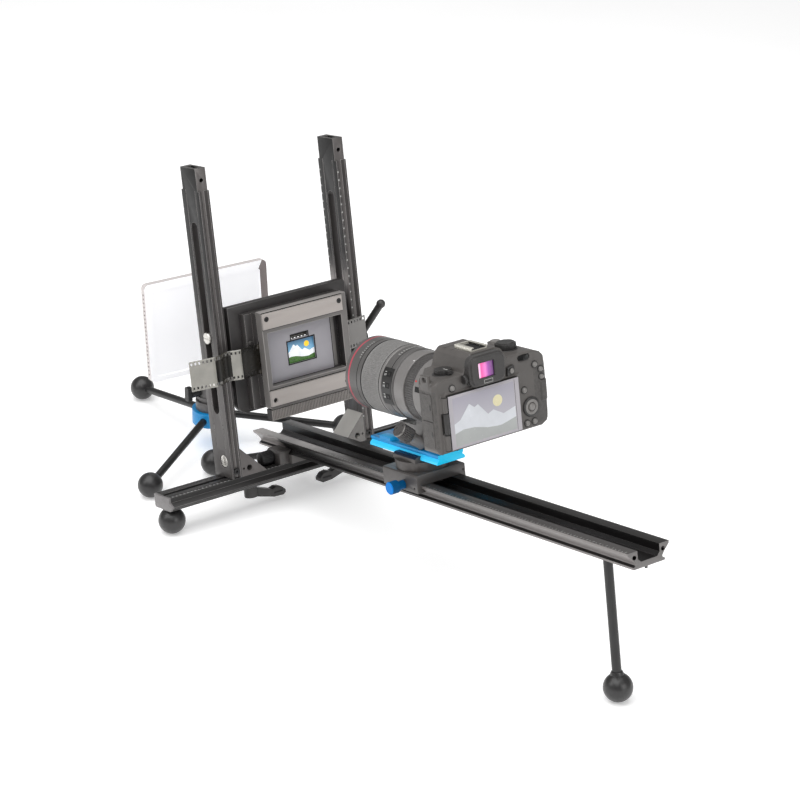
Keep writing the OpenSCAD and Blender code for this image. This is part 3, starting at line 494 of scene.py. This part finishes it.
# by face: end faces brightest and the lower flank lighter as painted highlight, faces between z 60 and 65 darker as
# painted shade, a narrow upward step navy, the top the base blue
dress("qr_plate", ["blue", "blue_hi", "navy", "blue_dk", "blue_end_lit"], 0.25, emat=-1,
      pick=lambda c, n: 4 if abs(n.y) > 0.9 and c.z < 65 else (0 if c.z > 65 else (1 if c.z < 60 else (2 if n.z > 0.9 and 63 < c.z < 64 else 3))))

# ------------------------------------------------------------------ lens and collar
dress("lens_collar", ["lens_hi", "edge"], 0.5, emat=-1)
u = Vector((-0.76, 0, 0.65)).normalized()
g = G()
g.rev([(1, -11), (2.5, -11), (2.5, 0)], (-26.2, -278, 82.5), u, 24, m=1)
g.rev([(2, 0), (8.4, 0), (8.8, 0.5), (8.8, 1.4), (8.5, 1.8, 0.8), (8.7, 2.4, 0.9), (8.7, 15.8, 0.9), (8.5, 16.4, 0.8), (8.8, 16.8), (8.8, 17.8), (8.2, 18.5), (2, 19.5)],
      (-26.2, -278, 82.5), u, 216, teeth=9, m=[1, 1, 1, 0, 0, 0, 0, 0, 1, 1, 0])
mk("v_collar_knob", g, ["knurl", "knurl_hi"], "collar_knob", ang=40, rep=("collar_knob",))

AX = (0, 0, 133.5)
prof = [(1, -331), (35, -331), (36.6, -327), (36.6, -305.1), (34, -305.1), (34, -271.9), (38, -271.9), (39.1, -271.2),
        (39.5, -270.2), (39.5, -263.4), (38.9, -263.2), (38.9, -262.6), (39.5, -262.4), (39.5, -251.2), (40.2, -250.4), (40.2, -246.6),
        (38, -246.6), (38, -213.5), (40.2, -213.5), (40.6, -213.1), (40.6, -206), (40.2, -205.8), (40.2, -205.2), (40.6, -205),
        (40.6, -191.6), (40.55, -191.5), (40.55, -189.3), (40.6, -189.2),
        (40.6, -184.1), (39.8, -183.3), (36.5, -183.3), (34, -190), (34, -196), (1, -196)]
mm = [0] * (len(prof) - 1)
for i in (0, 1, 2):
    mm[i] = 3
mm[25] = 2
mm[24] = mm[26] = 2
# the two narrow grooves (segments 9 to 11 and 20 to 22) take the dark lens colour as painted shade; segments 30 to 32
# are the dark inside of the front
for i in (10, 11, 21, 22, 30, 31, 32):
    mm[i] = 1
for i in (9, 20):
    mm[i] = 1
for i in (13, 14):
    mm[i] = 3
g = G().rev(prof, AX, (0, 1, 0), 144, m=mm)
mk("v_lens_barrel", g, ["lens", "lens_dk", "red", "lens_hi"], "camera", ang=24, rep=("lens_barrel",))
# dark rings at the joints either side of the focus ring: painted shade in the seams
g = G()
for y0, y1, r in ((-247.4, -246.5, 40.32), (-213.6, -212.7, 40.72)):
    g.rev([(39.4, y0), (r, y0), (r, y1), (39.4, y1)], AX, (0, 1, 0), 120, closed=True)
mk("lens_joint_lines", g, ["hole"], "camera", ang=30)
g = G().rev([(1, -195.9), (33.9, -195.9), (33.9, -193), (31, -191.6), (28, -190.6), (22, -189.5), (16, -188.7), (8, -188.15), (1, -188.02)], AX, (0, 1, 0), 96)
mk("v_front_glass", g, ["glass"], "camera", ang=40, rep=("front_glass",))
# fine ribs of the focus ring in three bands, and the knurled control ring
pr = [(38.06, -246.3), (40.1, -246.3), (40.5, -245.8), (40.5, -243.9)]
y = -243.9
while y < -216.5:
    pr += [(40.55, y, 0.35), (40.6, y + 0.35, 0.5), (40.6, y + 1.25, 0.5), (40.55, y + 1.6, 0.35), (40.1, y + 1.75), (40.1, y + 2.0)]
    y += 2.15
pr += [(40.5, -215.6), (40.5, -214.3), (40.1, -213.8), (38.06, -213.8)]
g = G().rev(pr, AX, (0, 1, 0), 480, teeth=4, closed=True)
mk("v_focus_ring", g, ["focus"], "focus_ring", ang=35, rep=("focus_ring",))
pr = [(34.06, -304.8), (36.7, -304.8), (37.1, -304.2, 0.3), (37.2, -303.4, 0.7), (37.2, -292.2, 0.7), (37.1, -291.2, 0.3), (36.6, -290.6), (34.06, -290.6)]
g = G().rev(pr, AX, (0, 1, 0), 540, teeth=6, closed=True)
mk("v_control_ring", g, ["grip"], "control_ring", ang=35, rep=("control_ring",))


def on_lens(g, a0, a1, y0, y1, r0, r1, m=0, n=6):
    """a curved tile on the barrel: angles in degrees from the top toward -X"""
    vs, fs = [], []
    for i in range(n + 1):
        a = math.radians(a0 + (a1 - a0) * i / n)
        for r in (r0, r1):
            for yy in (y0, y1):
                vs.append((-math.sin(a) * r, yy, 133.5 + math.cos(a) * r))
    for i in range(n):
        b = i * 4
        fs += [(b + 2, b + 3, b + 7, b + 6), (b, b + 4, b + 5, b + 1), (b, b + 2, b + 6, b + 4), (b + 1, b + 5, b + 7, b + 3)]
    fs += [(0, 1, 3, 2), (n * 4, n * 4 + 2, n * 4 + 3, n * 4 + 1)]
    return g.add(vs, fs, m)


# switch panel with its three slides, on the side that faces left
g = G()
on_lens(g, 52, 112, -269.6, -251.6, 39.3, 39.95, 0, 14)
# the dark surround round each slide is painted shade in its slot
for a in (62, 80, 98):
    on_lens(g, a - 4.4, a + 4.4, -266.5, -259.3, 39.9, 40.05, 1)
    on_lens(g, a - 1.8, a + 1.8, -266.0, -262.4, 40.0, 40.5, 0)
    on_lens(g, a - 3.4, a - 2.6, -257.8, -255.2, 39.9, 40.0, 2, 2)
    on_lens(g, a + 0.2, a + 3.2, -257.8, -257.2, 39.9, 40.0, 2, 2)
    on_lens(g, a + 0.2, a + 3.2, -255.8, -255.2, 39.9, 40.0, 2, 2)
mk("lens_switches", g, ["lens_dk", "hole", "white"], "camera", ang=30)
g = G()
on_lens(g, 28, 29.6, -289.5, -287, 38.62, 38.7, 0, 3)
mk("collar_mark", g, ["white"], "plate")
g = G()
on_lens(g, 60, 62.4, -309.2, -306.6, 36.6, 36.75, 0, 4)
mk("mount_dot", g, ["reddot"], "camera")
# a dark patch on the adapter at the release: painted shade of its recess
g = G()
on_lens(g, 70, 79, -326, -309, 36.5, 36.9, 0, 4)
mk("adapter_release", g, ["hole"], "camera")

# ------------------------------------------------------------------ camera body
def soft_copy(node, voxel, turns, name, mats, pick=None, extra=None, rep=True, fac=0.5):
    bm = cad_bm(node)
    bmesh.ops.triangulate(bm, faces=bm.faces)
    if extra:
        b = len(bm.verts)
        vs = [bm.verts.new(RIG @ p) for p in extra.v]
        for f in extra.f:
            bm.faces.new([vs[i] for i in f])
        bmesh.ops.recalc_face_normals(bm, faces=bm.faces)
    me = bpy.data.meshes.new(name)
    bm.to_mesh(me)
    bm.free()
    ob = bpy.data.objects.new(name, me)
    bpy.context.scene.collection.objects.link(ob)
    md = ob.modifiers.new("r", "REMESH")
    md.mode, md.voxel_size = "VOXEL", voxel / 1000
    sm = ob.modifiers.new("s", "SMOOTH")
    sm.factor, sm.iterations = fac, turns
    dg = bpy.context.evaluated_depsgraph_get()
    me2 = bpy.data.meshes.new_from_object(ob.evaluated_get(dg))
    ob.modifiers.clear()
    ob.data = me2
    for ma in mats:
        me2.materials.append(M[ma])
    for p in me2.polygons:
        p.use_smooth = True
        if pick:
            p.material_index = pick(UNRIG @ p.center, rot.transposed() @ p.normal)
    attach(ob, BODY[node])
    if rep:
        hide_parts(node)
    return ob


ex = G()
# thumb rest on the back at the right, and the ridge over the screen
ex.prism([(70, -386), (72, -390.0), (77, -390.6), (81.5, -386)], 119, 141, "z")
ex.box(-52, 44, -389.2, -386, 153.6, 155.2)


def body_pick(c, n):
    if c.x > 63 and 96 < c.z < 158 and c.y < -376:
        return 1
    if (c.x > 40 and c.y > -345 or c.x > 76 or c.x < -64 or c.y > -332) and 98 < c.z < 160:
        return 1
    return 0


cb = soft_copy("camera_body", 0.75, 5, "v_camera_body", ["body", "leather"], body_pick, ex)
soft_copy("eyecup", 0.5, 4, "v_eyecup", ["rubber"])
M["shoe"] = mat("shoe_metal", (0.80, 0.79, 0.75), 0.25, 0.5, 0.06, 60, 0.06, 1500, 0.03)
# the shoe's floor and inner side walls take the near-black colour as painted shade
dress("hot_shoe", ["shoe", "hole"], 0.2, emat=0, pick=lambda c, n: 1 if n.z > 0.9 and c.z < 193 or abs(n.x) > 0.9 and abs(c.x + 1) < 9.3 else 0)
# eyepiece glass: white at the left, pink to violet to the right, with a glow: a painted reflection on the glass
M["eye"] = gradient("eyepiece_glass_painted_reflection", (1, 0, 0), [(-15.2, (0.98, 0.93, 0.98)), (-12.6, (0.97, 0.70, 0.86)), (-10.6, (0.90, 0.22, 0.55)),
                    (-5.5, (0.86, 0.42, 0.72)), (-1.5, (0.55, 0.20, 0.58)), (6.2, (0.16, 0.06, 0.24))], 0.08, 0.35, 1.0)
g = G()
g.prism([(-15.1, 164.5), (6.1, 164.5), (6.1, 181.5), (-15.1, 181.5)], -397.6, -397.0, "y", 0)
mk("eyepiece_glass_painted_reflection", g, ["eye"], "camera")
g = G()
for x0, x1, z0, z1 in ((-15.6, 6.6, 163.6, 164.9), (-15.6, 6.6, 181.1, 182.4), (-15.6, -14.6, 164.9, 181.1), (5.4, 6.6, 164.9, 181.1)):
    g.box(x0, x1, -399.0, -397.4, z0, z1)
mk("eyepiece_frame", g, ["body_dk"], "camera", bevel=0.2)
g = G()
for x0, x1, z0, z1 in ((-9, 2.5, 158.6, 159.1), (-9, 2.5, 162.0, 162.5), (-9, -8.5, 159.1, 162.0), (2.0, 2.5, 159.1, 162.0)):
    g.box(x0, x1, -399.1, -398.8, z0, z1)
mk("eyecup_sensor_outline", g, ["grey_mark"], "camera")
# doors over the sockets on the left flank, shoulder ring, side knob and stick housing
g = G()
g.box(-67.8, -66.6, -383.5, -365, 128.6, 157.0)
g.box(-67.8, -66.6, -383.5, -365, 99.0, 127.2)
mk("socket_doors", g, ["leather"], "camera", bevel=1.0, seg=3)
g = G()
g.box(-68.1, -67.7, -381.5, -379.5, 111, 117)
g.box(-68.1, -67.7, -381.5, -379.5, 140, 146)
mk("socket_door_marks", g, ["body_dk"], "camera", bevel=0.15)
g = G()
g.rev([(9.8, 169.6), (12.3, 169.6), (11.6, 171.1), (9.8, 171.2)], (-37, -366, 0), (0, 0, 1), 64, closed=True)
g.rev([(11.8, 175.4), (13.2, 175.4), (12.6, 176.6), (11.8, 176.7)], (51, -360, 0), (0, 0, 1), 64, closed=True)
mk("shoulder_rings", g, ["body_dk"], "camera", ang=40)
g = G()
g.rev([(0.5, 0), (4.4, 0), (4.8, 0.5, 0.3), (4.8, 3.2, 0.3), (4.4, 3.8), (0.5, 3.9)], (-30.2, -391.2, 166), (1, 0, 0), 120, teeth=5)
mk("eyepiece_side_knob", g, ["body_dk"], "camera", ang=40)
g = G()
g.prism([(27.5, 155.5), (38.5, 158.2), (37.2, 167), (28.2, 164.8)], -391.2, -387.4, "y", 0)
mk("stick_housing", g, ["body_dk"], "camera", bevel=1.2, seg=3)
g = G()
g.rev([(0.3, -393.4), (2.2, -393.2), (2.8, -392.6), (2.2, -391.0), (2.0, -390.8)], (32.8, 0, 161.3), (0, 1, 0), 32)
mk("stick_cap", g, ["button"], "camera", ang=50)
# grip seam lines
g = G()
for y in (-357.5, -344.5):
    g.box(-20, 14, y, y + 0.3, 190.4, 190.6)
mk("hump_lines", g, ["body_dk"], "camera")
# marks on the top of the lens
g = G()
for k in range(9):
    on_lens(g, 14 + k * 4.2, 15.2 + k * 4.2, -203.6, -200.6 - (k % 3) * 0.6, 40.6, 40.68, 0, 2)
for k in range(7):
    on_lens(g, -6 + k * 5, -4.4 + k * 5, -260.5, -257.5, 39.5, 39.62, 0, 2)
mk("lens_marks", g, ["grey_mark"], "camera")

# ------------------------------------------------------------------ screen with a plain landscape
M["bezel"] = mat("screen_bezel", (0.64, 0.625, 0.645), 0.22, 0, 0.04, 40, 0.05, 800, 0.03, coat=0.4)
dress("camera_screen", ["body_dk", "bezel"], 0.5, 3, emat=-1,
      pick=lambda c, n: 1 if n.y < -0.9 and c.y < -392.1 and c.x > -52.4 else 0)
M["sky"] = gradient("screen_sky", (0, 0, 1), [(99, (0.66, 0.65, 0.67)), (125, (0.64, 0.63, 0.66)), (149, (0.58, 0.57, 0.61))], 0.2, 0.06, 0.5, 0.1, 40)
M["hill_a"] = mat("screen_hill_far", (0.75, 0.76, 0.78), 0.2, 0, 0.06, 60, emit=0.06, coat=0.6)
M["hill_b"] = mat("screen_hill_near", (0.60, 0.61, 0.605), 0.2, 0, 0.05, 60, emit=0.05, coat=0.6)
M["sun"] = mat("screen_sun", (0.80, 0.77, 0.62), 0.2, 0, 0.04, 60, emit=0.06, coat=0.6)


def sheet_poly(g, pts, y, m):
    g.add([(x, y, z) for x, z in pts], [tuple(range(len(pts)))], m)


def disc(cx, cz, r, n=40):
    return [(cx + r * math.cos(2 * math.pi * i / n), cz + r * math.sin(2 * math.pi * i / n)) for i in range(n)]


def landscape(g, x0, x1, z0, z1, y, step):
    w, h = x1 - x0, z1 - z0
    def P(a, b):
        return (x0 + a * w, z0 + b * h)
    g.prism([P(0, 0), P(1, 0), P(1, 1), P(0, 1)], y, y + 0.05, "y", 0)
    sheet_poly(g, [P(*p) for p in disc(0, 0, 1)] and disc(x0 + 0.72 * w, z0 + 0.70 * h, 0.10 * h * 1.2), y - step, 3)
    sheet_poly(g, [P(0, 0.18), P(0, 0.46), P(0.10, 0.52), P(0.26, 0.80), P(0.34, 0.70), P(0.40, 0.74), P(0.55, 0.48), P(0.64, 0.54),
                   P(0.80, 0.40), P(1, 0.48), P(1, 0.18)], y - 2 * step, 1)
    sheet_poly(g, [P(0, 0), P(0, 0.26), P(0.14, 0.31), P(0.32, 0.29), P(0.52, 0.21), P(0.74, 0.17), P(1, 0.26), P(1, 0)], y - 3 * step, 2)


g = G()
landscape(g, -47, 33.2, 98.0, 150.0, -392.26, 0.03)
ob = mk("screen_picture", g, ["sky", "hill_a", "hill_b", "sun"], "screen")
# a dark sheet behind the screen's edge: painted shade in the gap between screen and body
g = G()
g.box(-53.3, 41.4, -388.3, -388.02, 93.8, 154.1)
mk("screen_gap", g, ["hole"], "camera")
# painted shade: dark rings round the hinge posts at the screen's left edge, and a dark strip beside them
g = G()
for z0, z1 in ((95.4, 96.0), (112.1, 112.75), (135.85, 136.5), (152.9, 153.5)):
    g.rev([(2.4, z0), (3.07, z0), (3.07, z1), (2.4, z1)], (-55.8, -390.4, 0), (0, 0, 1), 40, closed=True)
g.box(-59.6, -58.9, -388.3, -387.9, 94.9, 153.8, 0)
mk("screen_hinge_creases", g, ["hole"], "camera", ang=40)
g = G()
g.box(34.2, 34.6, -392.28, -392.15, 96.5, 151.4)
mk("screen_side_line", g, ["body_dk"], "screen")

# ------------------------------------------------------------------ dials and buttons
g = G()
for x, z, r in ((-43, 159.5, 3.1), (65.8, 160, 3), (73, 153.5, 2.8), (73.6, 145, 2.8), (49.6, 135.3, 3.1), (50, 98.6, 3.1), (60, 98.6, 3.1)):
    g.rev([(0.3, -390.3), (r * 0.5, -390.2), (r * 0.82, -389.8), (r * 0.97, -389.2), (r, -388.6), (r, -386.9)], (x, 0, z), (0, 1, 0), 40)
mk("v_back_buttons", g, ["button"], "back_buttons", ang=50, rep=("back_buttons",))
g = G()
for x, z, r in ((-43, 159.5, 3.1), (65.8, 160, 3), (73, 153.5, 2.8), (73.6, 145, 2.8), (49.6, 135.3, 3.1), (50, 98.6, 3.1), (60, 98.6, 3.1)):
    g.rev([(r + 0.1, -388.1), (r + 0.15, -388.9), (r + 0.9, -388.7), (r + 1.1, -388.0), (r + 0.1, -387.4)], (x, 0, z), (0, 1, 0), 40, closed=True)
mk("button_collars", g, ["body_dk"], "camera", ang=50)
g = G()
g.rev([(5.06, -388.2), (5.06, -389.6), (5.6, -390.0), (8.2, -389.9), (9.8, -389.9, 0.2), (10.8, -389.5, 0.5), (11.0, -389.0, 0.5), (11, -388.2, 0.5)],
      (56.8, 0, 115.5), (0, 1, 0), 240, teeth=6, closed=True, m=[0, 1, 1, 0, 0, 0, 0, 0])
mk("v_rear_dial", g, ["body_dk", "button"], "rear_dial", ang=45, rep=("rear_dial",))
g = G().rev([(0.3, -391.2), (2.4, -391.1), (3.6, -390.7), (4.0, -390.2), (4.04, -387)], (56.8, 0, 115.5), (0, 1, 0), 40)
mk("v_set_button", g, ["button"], "set_button", ang=50, rep=("set_button",))
g = G().rev([(0.5, 167.9), (9.0, 167.9), (9.6, 168.5, 0.9), (9.6, 172.5, 0.9), (9.0, 173.1), (0.5, 173.1)], (52.5, -381, 0), (0, 0, 1), 160, teeth=4)
mk("v_thumb_dial", g, ["black"], "thumb_dial", ang=40, rep=("thumb_dial",))
g = G().rev([(3, 171), (3, 176.5), (11, 176.5), (11.5, 177.0, 0.5), (11.5, 182.3, 0.5), (11.0, 182.9), (9.6, 183.1), (9.3, 184), (0.5, 184)],
            (51, -360, 0), (0, 0, 1), 240, teeth=5)
mk("v_mode_dial", g, ["body_dk"], "mode_dial", ang=40, rep=("mode_dial",))
g = G().rev([(5.5, 173.8), (5.5, 177.2), (5.2, 177.8), (4.2, 178), (0.4, 177.7)], (62, -327, 0), (0, 0, 1), 48)
mk("v_shutter_button", g, ["button"], "shutter_button", ang=50, rep=("shutter_button",))
g = G().rev([(3, 167), (3, 171.3), (9.3, 171.3), (9.5, 171.6, 0.3), (9.5, 175.2, 0.3), (9.2, 175.8), (0.5, 176)], (-37, -366, 0), (0, 0, 1), 160, teeth=5)
g.prism([(-39.6, -380), (-34.4, -380), (-34, -366), (-40, -366)], 172.4, 175.4, "z", 0)
g.box(-37.3, -36.7, -375, -367, 176, 176.06, 1)
mk("v_power_switch", g, ["body_dk", "white"], "power_switch", ang=40, rep=("power_switch",))

# ------------------------------------------------------------------ film stage
dress("stage_rear_frame", ["stage", "edge_dk"], 0.5, emat=1)
# a lighter colour on the tunnel plate's broad rounded edges as a painted highlight
M["plate_edge_painted_highlight"] = mat("plate_edge_painted_highlight", (0.66, 0.645, 0.635), 0.34, 0.3, 0.06, 40, 0.05, 1300, 0.05)
dress("stage_tunnel", ["tunnel", "plate_edge_painted_highlight"], 1.1, 3, emat=1)
# the top face gets a lighter gate colour as a painted highlight, and the side walls between x 40 and 56 the darker
# stage colour as painted shade
dress("gate_frame", ["gate", "gate_hi", "stage"], 0.6, 3, emat=1,
      pick=lambda c, n: 1 if n.z > 0.9 and c.z > 185 else (2 if abs(n.x) > 0.9 and 40 < c.x < 56 else 0))
dress("gate_bars", ["bar", "edge"], 0.5, 2, emat=1)
dress("film_mask", ["mask", "edge"], 0.2, emat=1)
dress("gate_screws", ["black"], 0.1)
dress("stage_screws", ["steel"], 0.25)
dress("stage_lever", ["lever"], 0.4)
g = G()
g.box(-55.6, 56, -45.1, -35, 65, 77.4, 1)
x = -55.4
while x < 54.8:
    g.prism([(x, -45.1), (x + 0.2, -45.95), (x + 1.15, -45.95), (x + 1.35, -45.1)], 65.5, 76.9, "z", 0)
    x += 2.1
g.box(-55.6, 56, -46, -35, 65, 65.6, 0)
mk("v_gate_feed_bar", g, ["feed", "stage"], "stage", ang=30, rep=("gate_feed_bar",))
# dark strips behind the top and bottom bars: painted shadow under and over the bars
g = G()
for z0, z1 in ((171.0, 191.7), (80.2, 100.6)):
    g.box(-55.5, 55.0, -45.12, -44.9, z0, z1)
mk("bar_seats", g, ["hole"], "stage")
# dark rings round the two bar screws: painted shade in their recesses
g = G()
for s_ in (-1, 1):
    g.rev([(0.8, -47.05), (2.5, -47.05), (3.1, -47.02), (3.1, -46.9), (2.5, -46.9)], (s_ * 49.8, 0, 184), (0, 1, 0), 32, closed=True)
mk("bar_screw_rings", g, ["hole"], "stage")
# dark surround of the picture window, of the small window above it and round the mask's outer edge
# these outlines are painted shade at the window edges and along the mask's edge
g = G()
for x0, x1, z0, z1 in ((-19.9, 19.1, 120.7, 121.9), (-19.9, 19.1, 147.7, 149.2), (-19.9, -18.6, 121.9, 147.7), (17.8, 19.1, 121.9, 147.7)):
    g.box(x0, x1, -35.7, -35.35, z0, z1)
for x0, x1, z0, z1 in ((-14.2, 11.2, 155.0, 156.0), (-14.2, -13, 149.2, 155.0), (10, 11.2, 149.2, 155.0)):
    g.box(x0, x1, -35.7, -35.35, z0, z1)
for x0, x1, z0, z1 in ((-49.4, -48.8, 104.2, 166.4), (-49.4, 42, 165.8, 166.4), (-49.4, 42, 104.2, 104.7), (41.5, 42.1, 104.2, 166.4)):
    g.box(x0, x1, -35.7, -35.35, z0, z1)
mk("mask_surround", g, ["hole"], "stage", bevel=0.1)
g = G()
g.box(42.2, 47.4, -34.7, -34.3, 104.2, 166.8, 0)
g.box(47.4, 52.1, -34.3, -33.9, 104.2, 166.8, 1)
g.box(42.2, 52.1, -35.2, -34.6, 104.2, 106.4, 1)
mk("mask_side_strip", g, ["gate", "stage"], "stage", bevel=0.15)
M["p_sky"] = gradient("picture_sky", (0, 0, 1), [(121, (0.50, 0.66, 0.72)), (136, (0.42, 0.62, 0.74)), (148, (0.20, 0.36, 0.48))], 0.3, 0.5, 0.3, 0.1, 60)
M["p_hill"] = mat("picture_mountain", (0.88, 0.89, 0.90), 0.3, 0, 0.1, 120, emit=0.4)
M["p_green"] = mat("picture_meadow", (0.24, 0.40, 0.16), 0.3, 0, 0.3, 160, emit=0.3)
M["p_sun"] = mat("picture_sun", (0.93, 0.76, 0.16), 0.3, 0, 0.08, 120, emit=0.4)
g = G()
landscape(g, -19.5, 19.5, 120.6, 148.8, -32.9, 0.02)
mk("slide_picture", g, ["p_sky", "p_hill", "p_green", "p_sun"], "film")

# film strip with its perforations
wave = [(-148, -31.5), (-138, -33), (-126, -35.6), (-116, -37.4), (-110, -36.6), (-104, -32), (-99, -28.8), (-94, -29), (-88, -32),
        (-82, -34.4), (-76, -34.2), (-71, -33.1), (-66, -32.6), (-40, -32.6), (0, -32.6), (40, -32.6), (66, -32.6), (73, -31.6),
        (82, -29.6), (96, -27.4)]
pts = [Vector(p) for p in wave]
for _ in range(4):
    q = [pts[0]]
    for i in range(len(pts) - 1):
        q += [pts[i] * 0.75 + pts[i + 1] * 0.25, pts[i] * 0.25 + pts[i + 1] * 0.75]
    q.append(pts[-1])
    pts = q
acc = [0.0]
for i in range(1, len(pts)):
    acc.append(acc[-1] + (pts[i] - pts[i - 1]).length)


def at(s):
    s = min(max(s, 0), acc[-1])
    for i in range(1, len(acc)):
        if acc[i] >= s:
            t = (s - acc[i - 1]) / max(1e-9, acc[i] - acc[i - 1])
            return pts[i - 1].lerp(pts[i], t)
    return pts[-1]


stations, kind = [0.0], []
s0 = 0.7
stations.append(s0)
kind.append(0)
while s0 + 4.75 < acc[-1]:
    for w, k in ((0.7, 0), (0.7, 0), (1.0, 1), (1.0, 1), (0.675, 0), (0.675, 0)):
        s0 += w
        stations.append(s0)
        kind.append(k)
stations.append(acc[-1])
kind.append(0)
rows = [119.0, 121.0, 123.8, 124.6, 136.45, 148.3, 149.1, 151.9, 153.9]
g = G()
vs = [(at(s).x, at(s).y, z) for s in stations for z in rows]
fs, ms = [], []
nr = len(rows)
for i in range(len(stations) - 1):
    mid_s = (stations[i] + stations[i + 1]) / 2 + 12.5
    for j in range(nr - 1):
        if kind[i] and j in (1, 6):
            continue
        fs.append((i * nr + j, (i + 1) * nr + j, (i + 1) * nr + j + 1, i * nr + j + 1))
        # by x along the strip: x below -117 and -92 to -81 take the lighter film colour as painted glare, and -81 to
        # -58 the dark picture colour as painted shade
        fx = at(stations[i]).x
        glare_band = fx < -117 or -92 < fx < -81
        ms.append(3 if fx > 55 else (2 if glare_band else (1 if j in (2, 3, 4, 5) and 1.2 < mid_s % 38.0 < 36.8 or -81 <= fx < -58 else 0)))
g.add(vs, fs, ms)
fo = mk("v_film_strip", g, ["film", "frame", "clear", "film_r"], "film", rep=("film_strip",), ang=60)
so = fo.modifiers.new("thick", "SOLIDIFY")
so.thickness, so.offset = 0.0002, 0

# ------------------------------------------------------------------ lamp
# the hub's blue carries a faint glow as painted light
dress("light_hub", ["hub", "blue_hi"], 0.8, 3, emat=-1)
g = G()
for a in (91, 211, 331):
    a = math.radians(a)
    g.sphere((-10.4 + 162 * math.cos(a), 171 + 162 * math.sin(a), 15), 15, 48)
mk("v_light_balls", g, ["ball"], "lamp_base", frame=ROOM, rep=("light_balls",))
dress("light_column", ["lamp"], 0.5)
dress("light_pan_head", ["lamp"], 0.4)
dress("light_head", ["lamp"], 0.4)
dress("head_knob", ["black"], 0.6, 3)
PANEL = (Matrix.Rotation(math.radians(-4.5), 3, "Z") @ Matrix.Rotation(math.radians(6.2), 3, "X")).inverted()


def panel_pick(c, n):
    q, k = PANEL @ (c - Vector((-13.5, 145, 145.3))), PANEL @ n
    if q.y < 2.9 and abs(q.x) < 73.5 and -56 < q.z < 51.5:
        return 2
    if (abs(k.x) > 0.7 and abs(q.x) > 78) or (abs(k.z) > 0.7 and abs(q.z) > 57):
        return 1
    return 0


dress("light_panel", ["pframe", "pedge", "pface"], 0.7, 3, emat=1, pick=panel_pick)

# ------------------------------------------------------------------ anything left gets a material
DEFAULT = {"camera_black": "body", "knob_black": "black", "stage_black": "stage"}
for n, o in frame["nodes"].items():
    if not o.hide_render:
        o.data.materials.clear()
        o.data.materials.append(M[DEFAULT.get(SLOT[n], "body")])

# ------------------------------------------------------------------ floor, light, world
me = bpy.data.meshes.new("floor")
me.from_pydata([(-9, -9, 0), (9, -9, 0), (9, 9, 0), (-9, 9, 0)], [], [(0, 1, 2, 3)])
me.materials.append(mat("studio_floor", (0.97, 0.97, 0.97), 0.9, 0, 0.01, 3, spec=0.1, emit=0.34))
floor = bpy.data.objects.new("floor", me)
bpy.context.scene.collection.objects.link(floor)
floor.location.z = -0.0004

w = bpy.data.worlds.new("studio")
w.use_nodes = True
bg = w.node_tree.nodes["Background"]
bg.inputs["Color"].default_value = (1, 1, 1, 1)
bg.inputs["Strength"].default_value = 0.32
bpy.context.scene.world = w
vs = bpy.context.scene.view_settings
vs.view_transform = "Standard"
vs.look = "None"
vs.exposure = 0.0


def area(name, loc, aim, size, power):
    li = bpy.data.lights.new(name, "AREA")
    li.shape, li.size, li.energy = "SQUARE", size, power
    lo = bpy.data.objects.new(name, li)
    bpy.context.scene.collection.objects.link(lo)
    lo.location = loc
    lo.rotation_euler = (Vector(aim) - Vector(loc)).to_track_quat("-Z", "Y").to_euler()


area("top_soft", (-0.7, -0.2, 2.6), (0, 0, 0), 3.4, 92)
area("fill_front", (0.5, -3.2, 1.4), (0, 0, 0.15), 1.8, 30)
area("rim_left", (-2.6, 0.6, 1.6), (0, 0, 0.15), 1.2, 10)
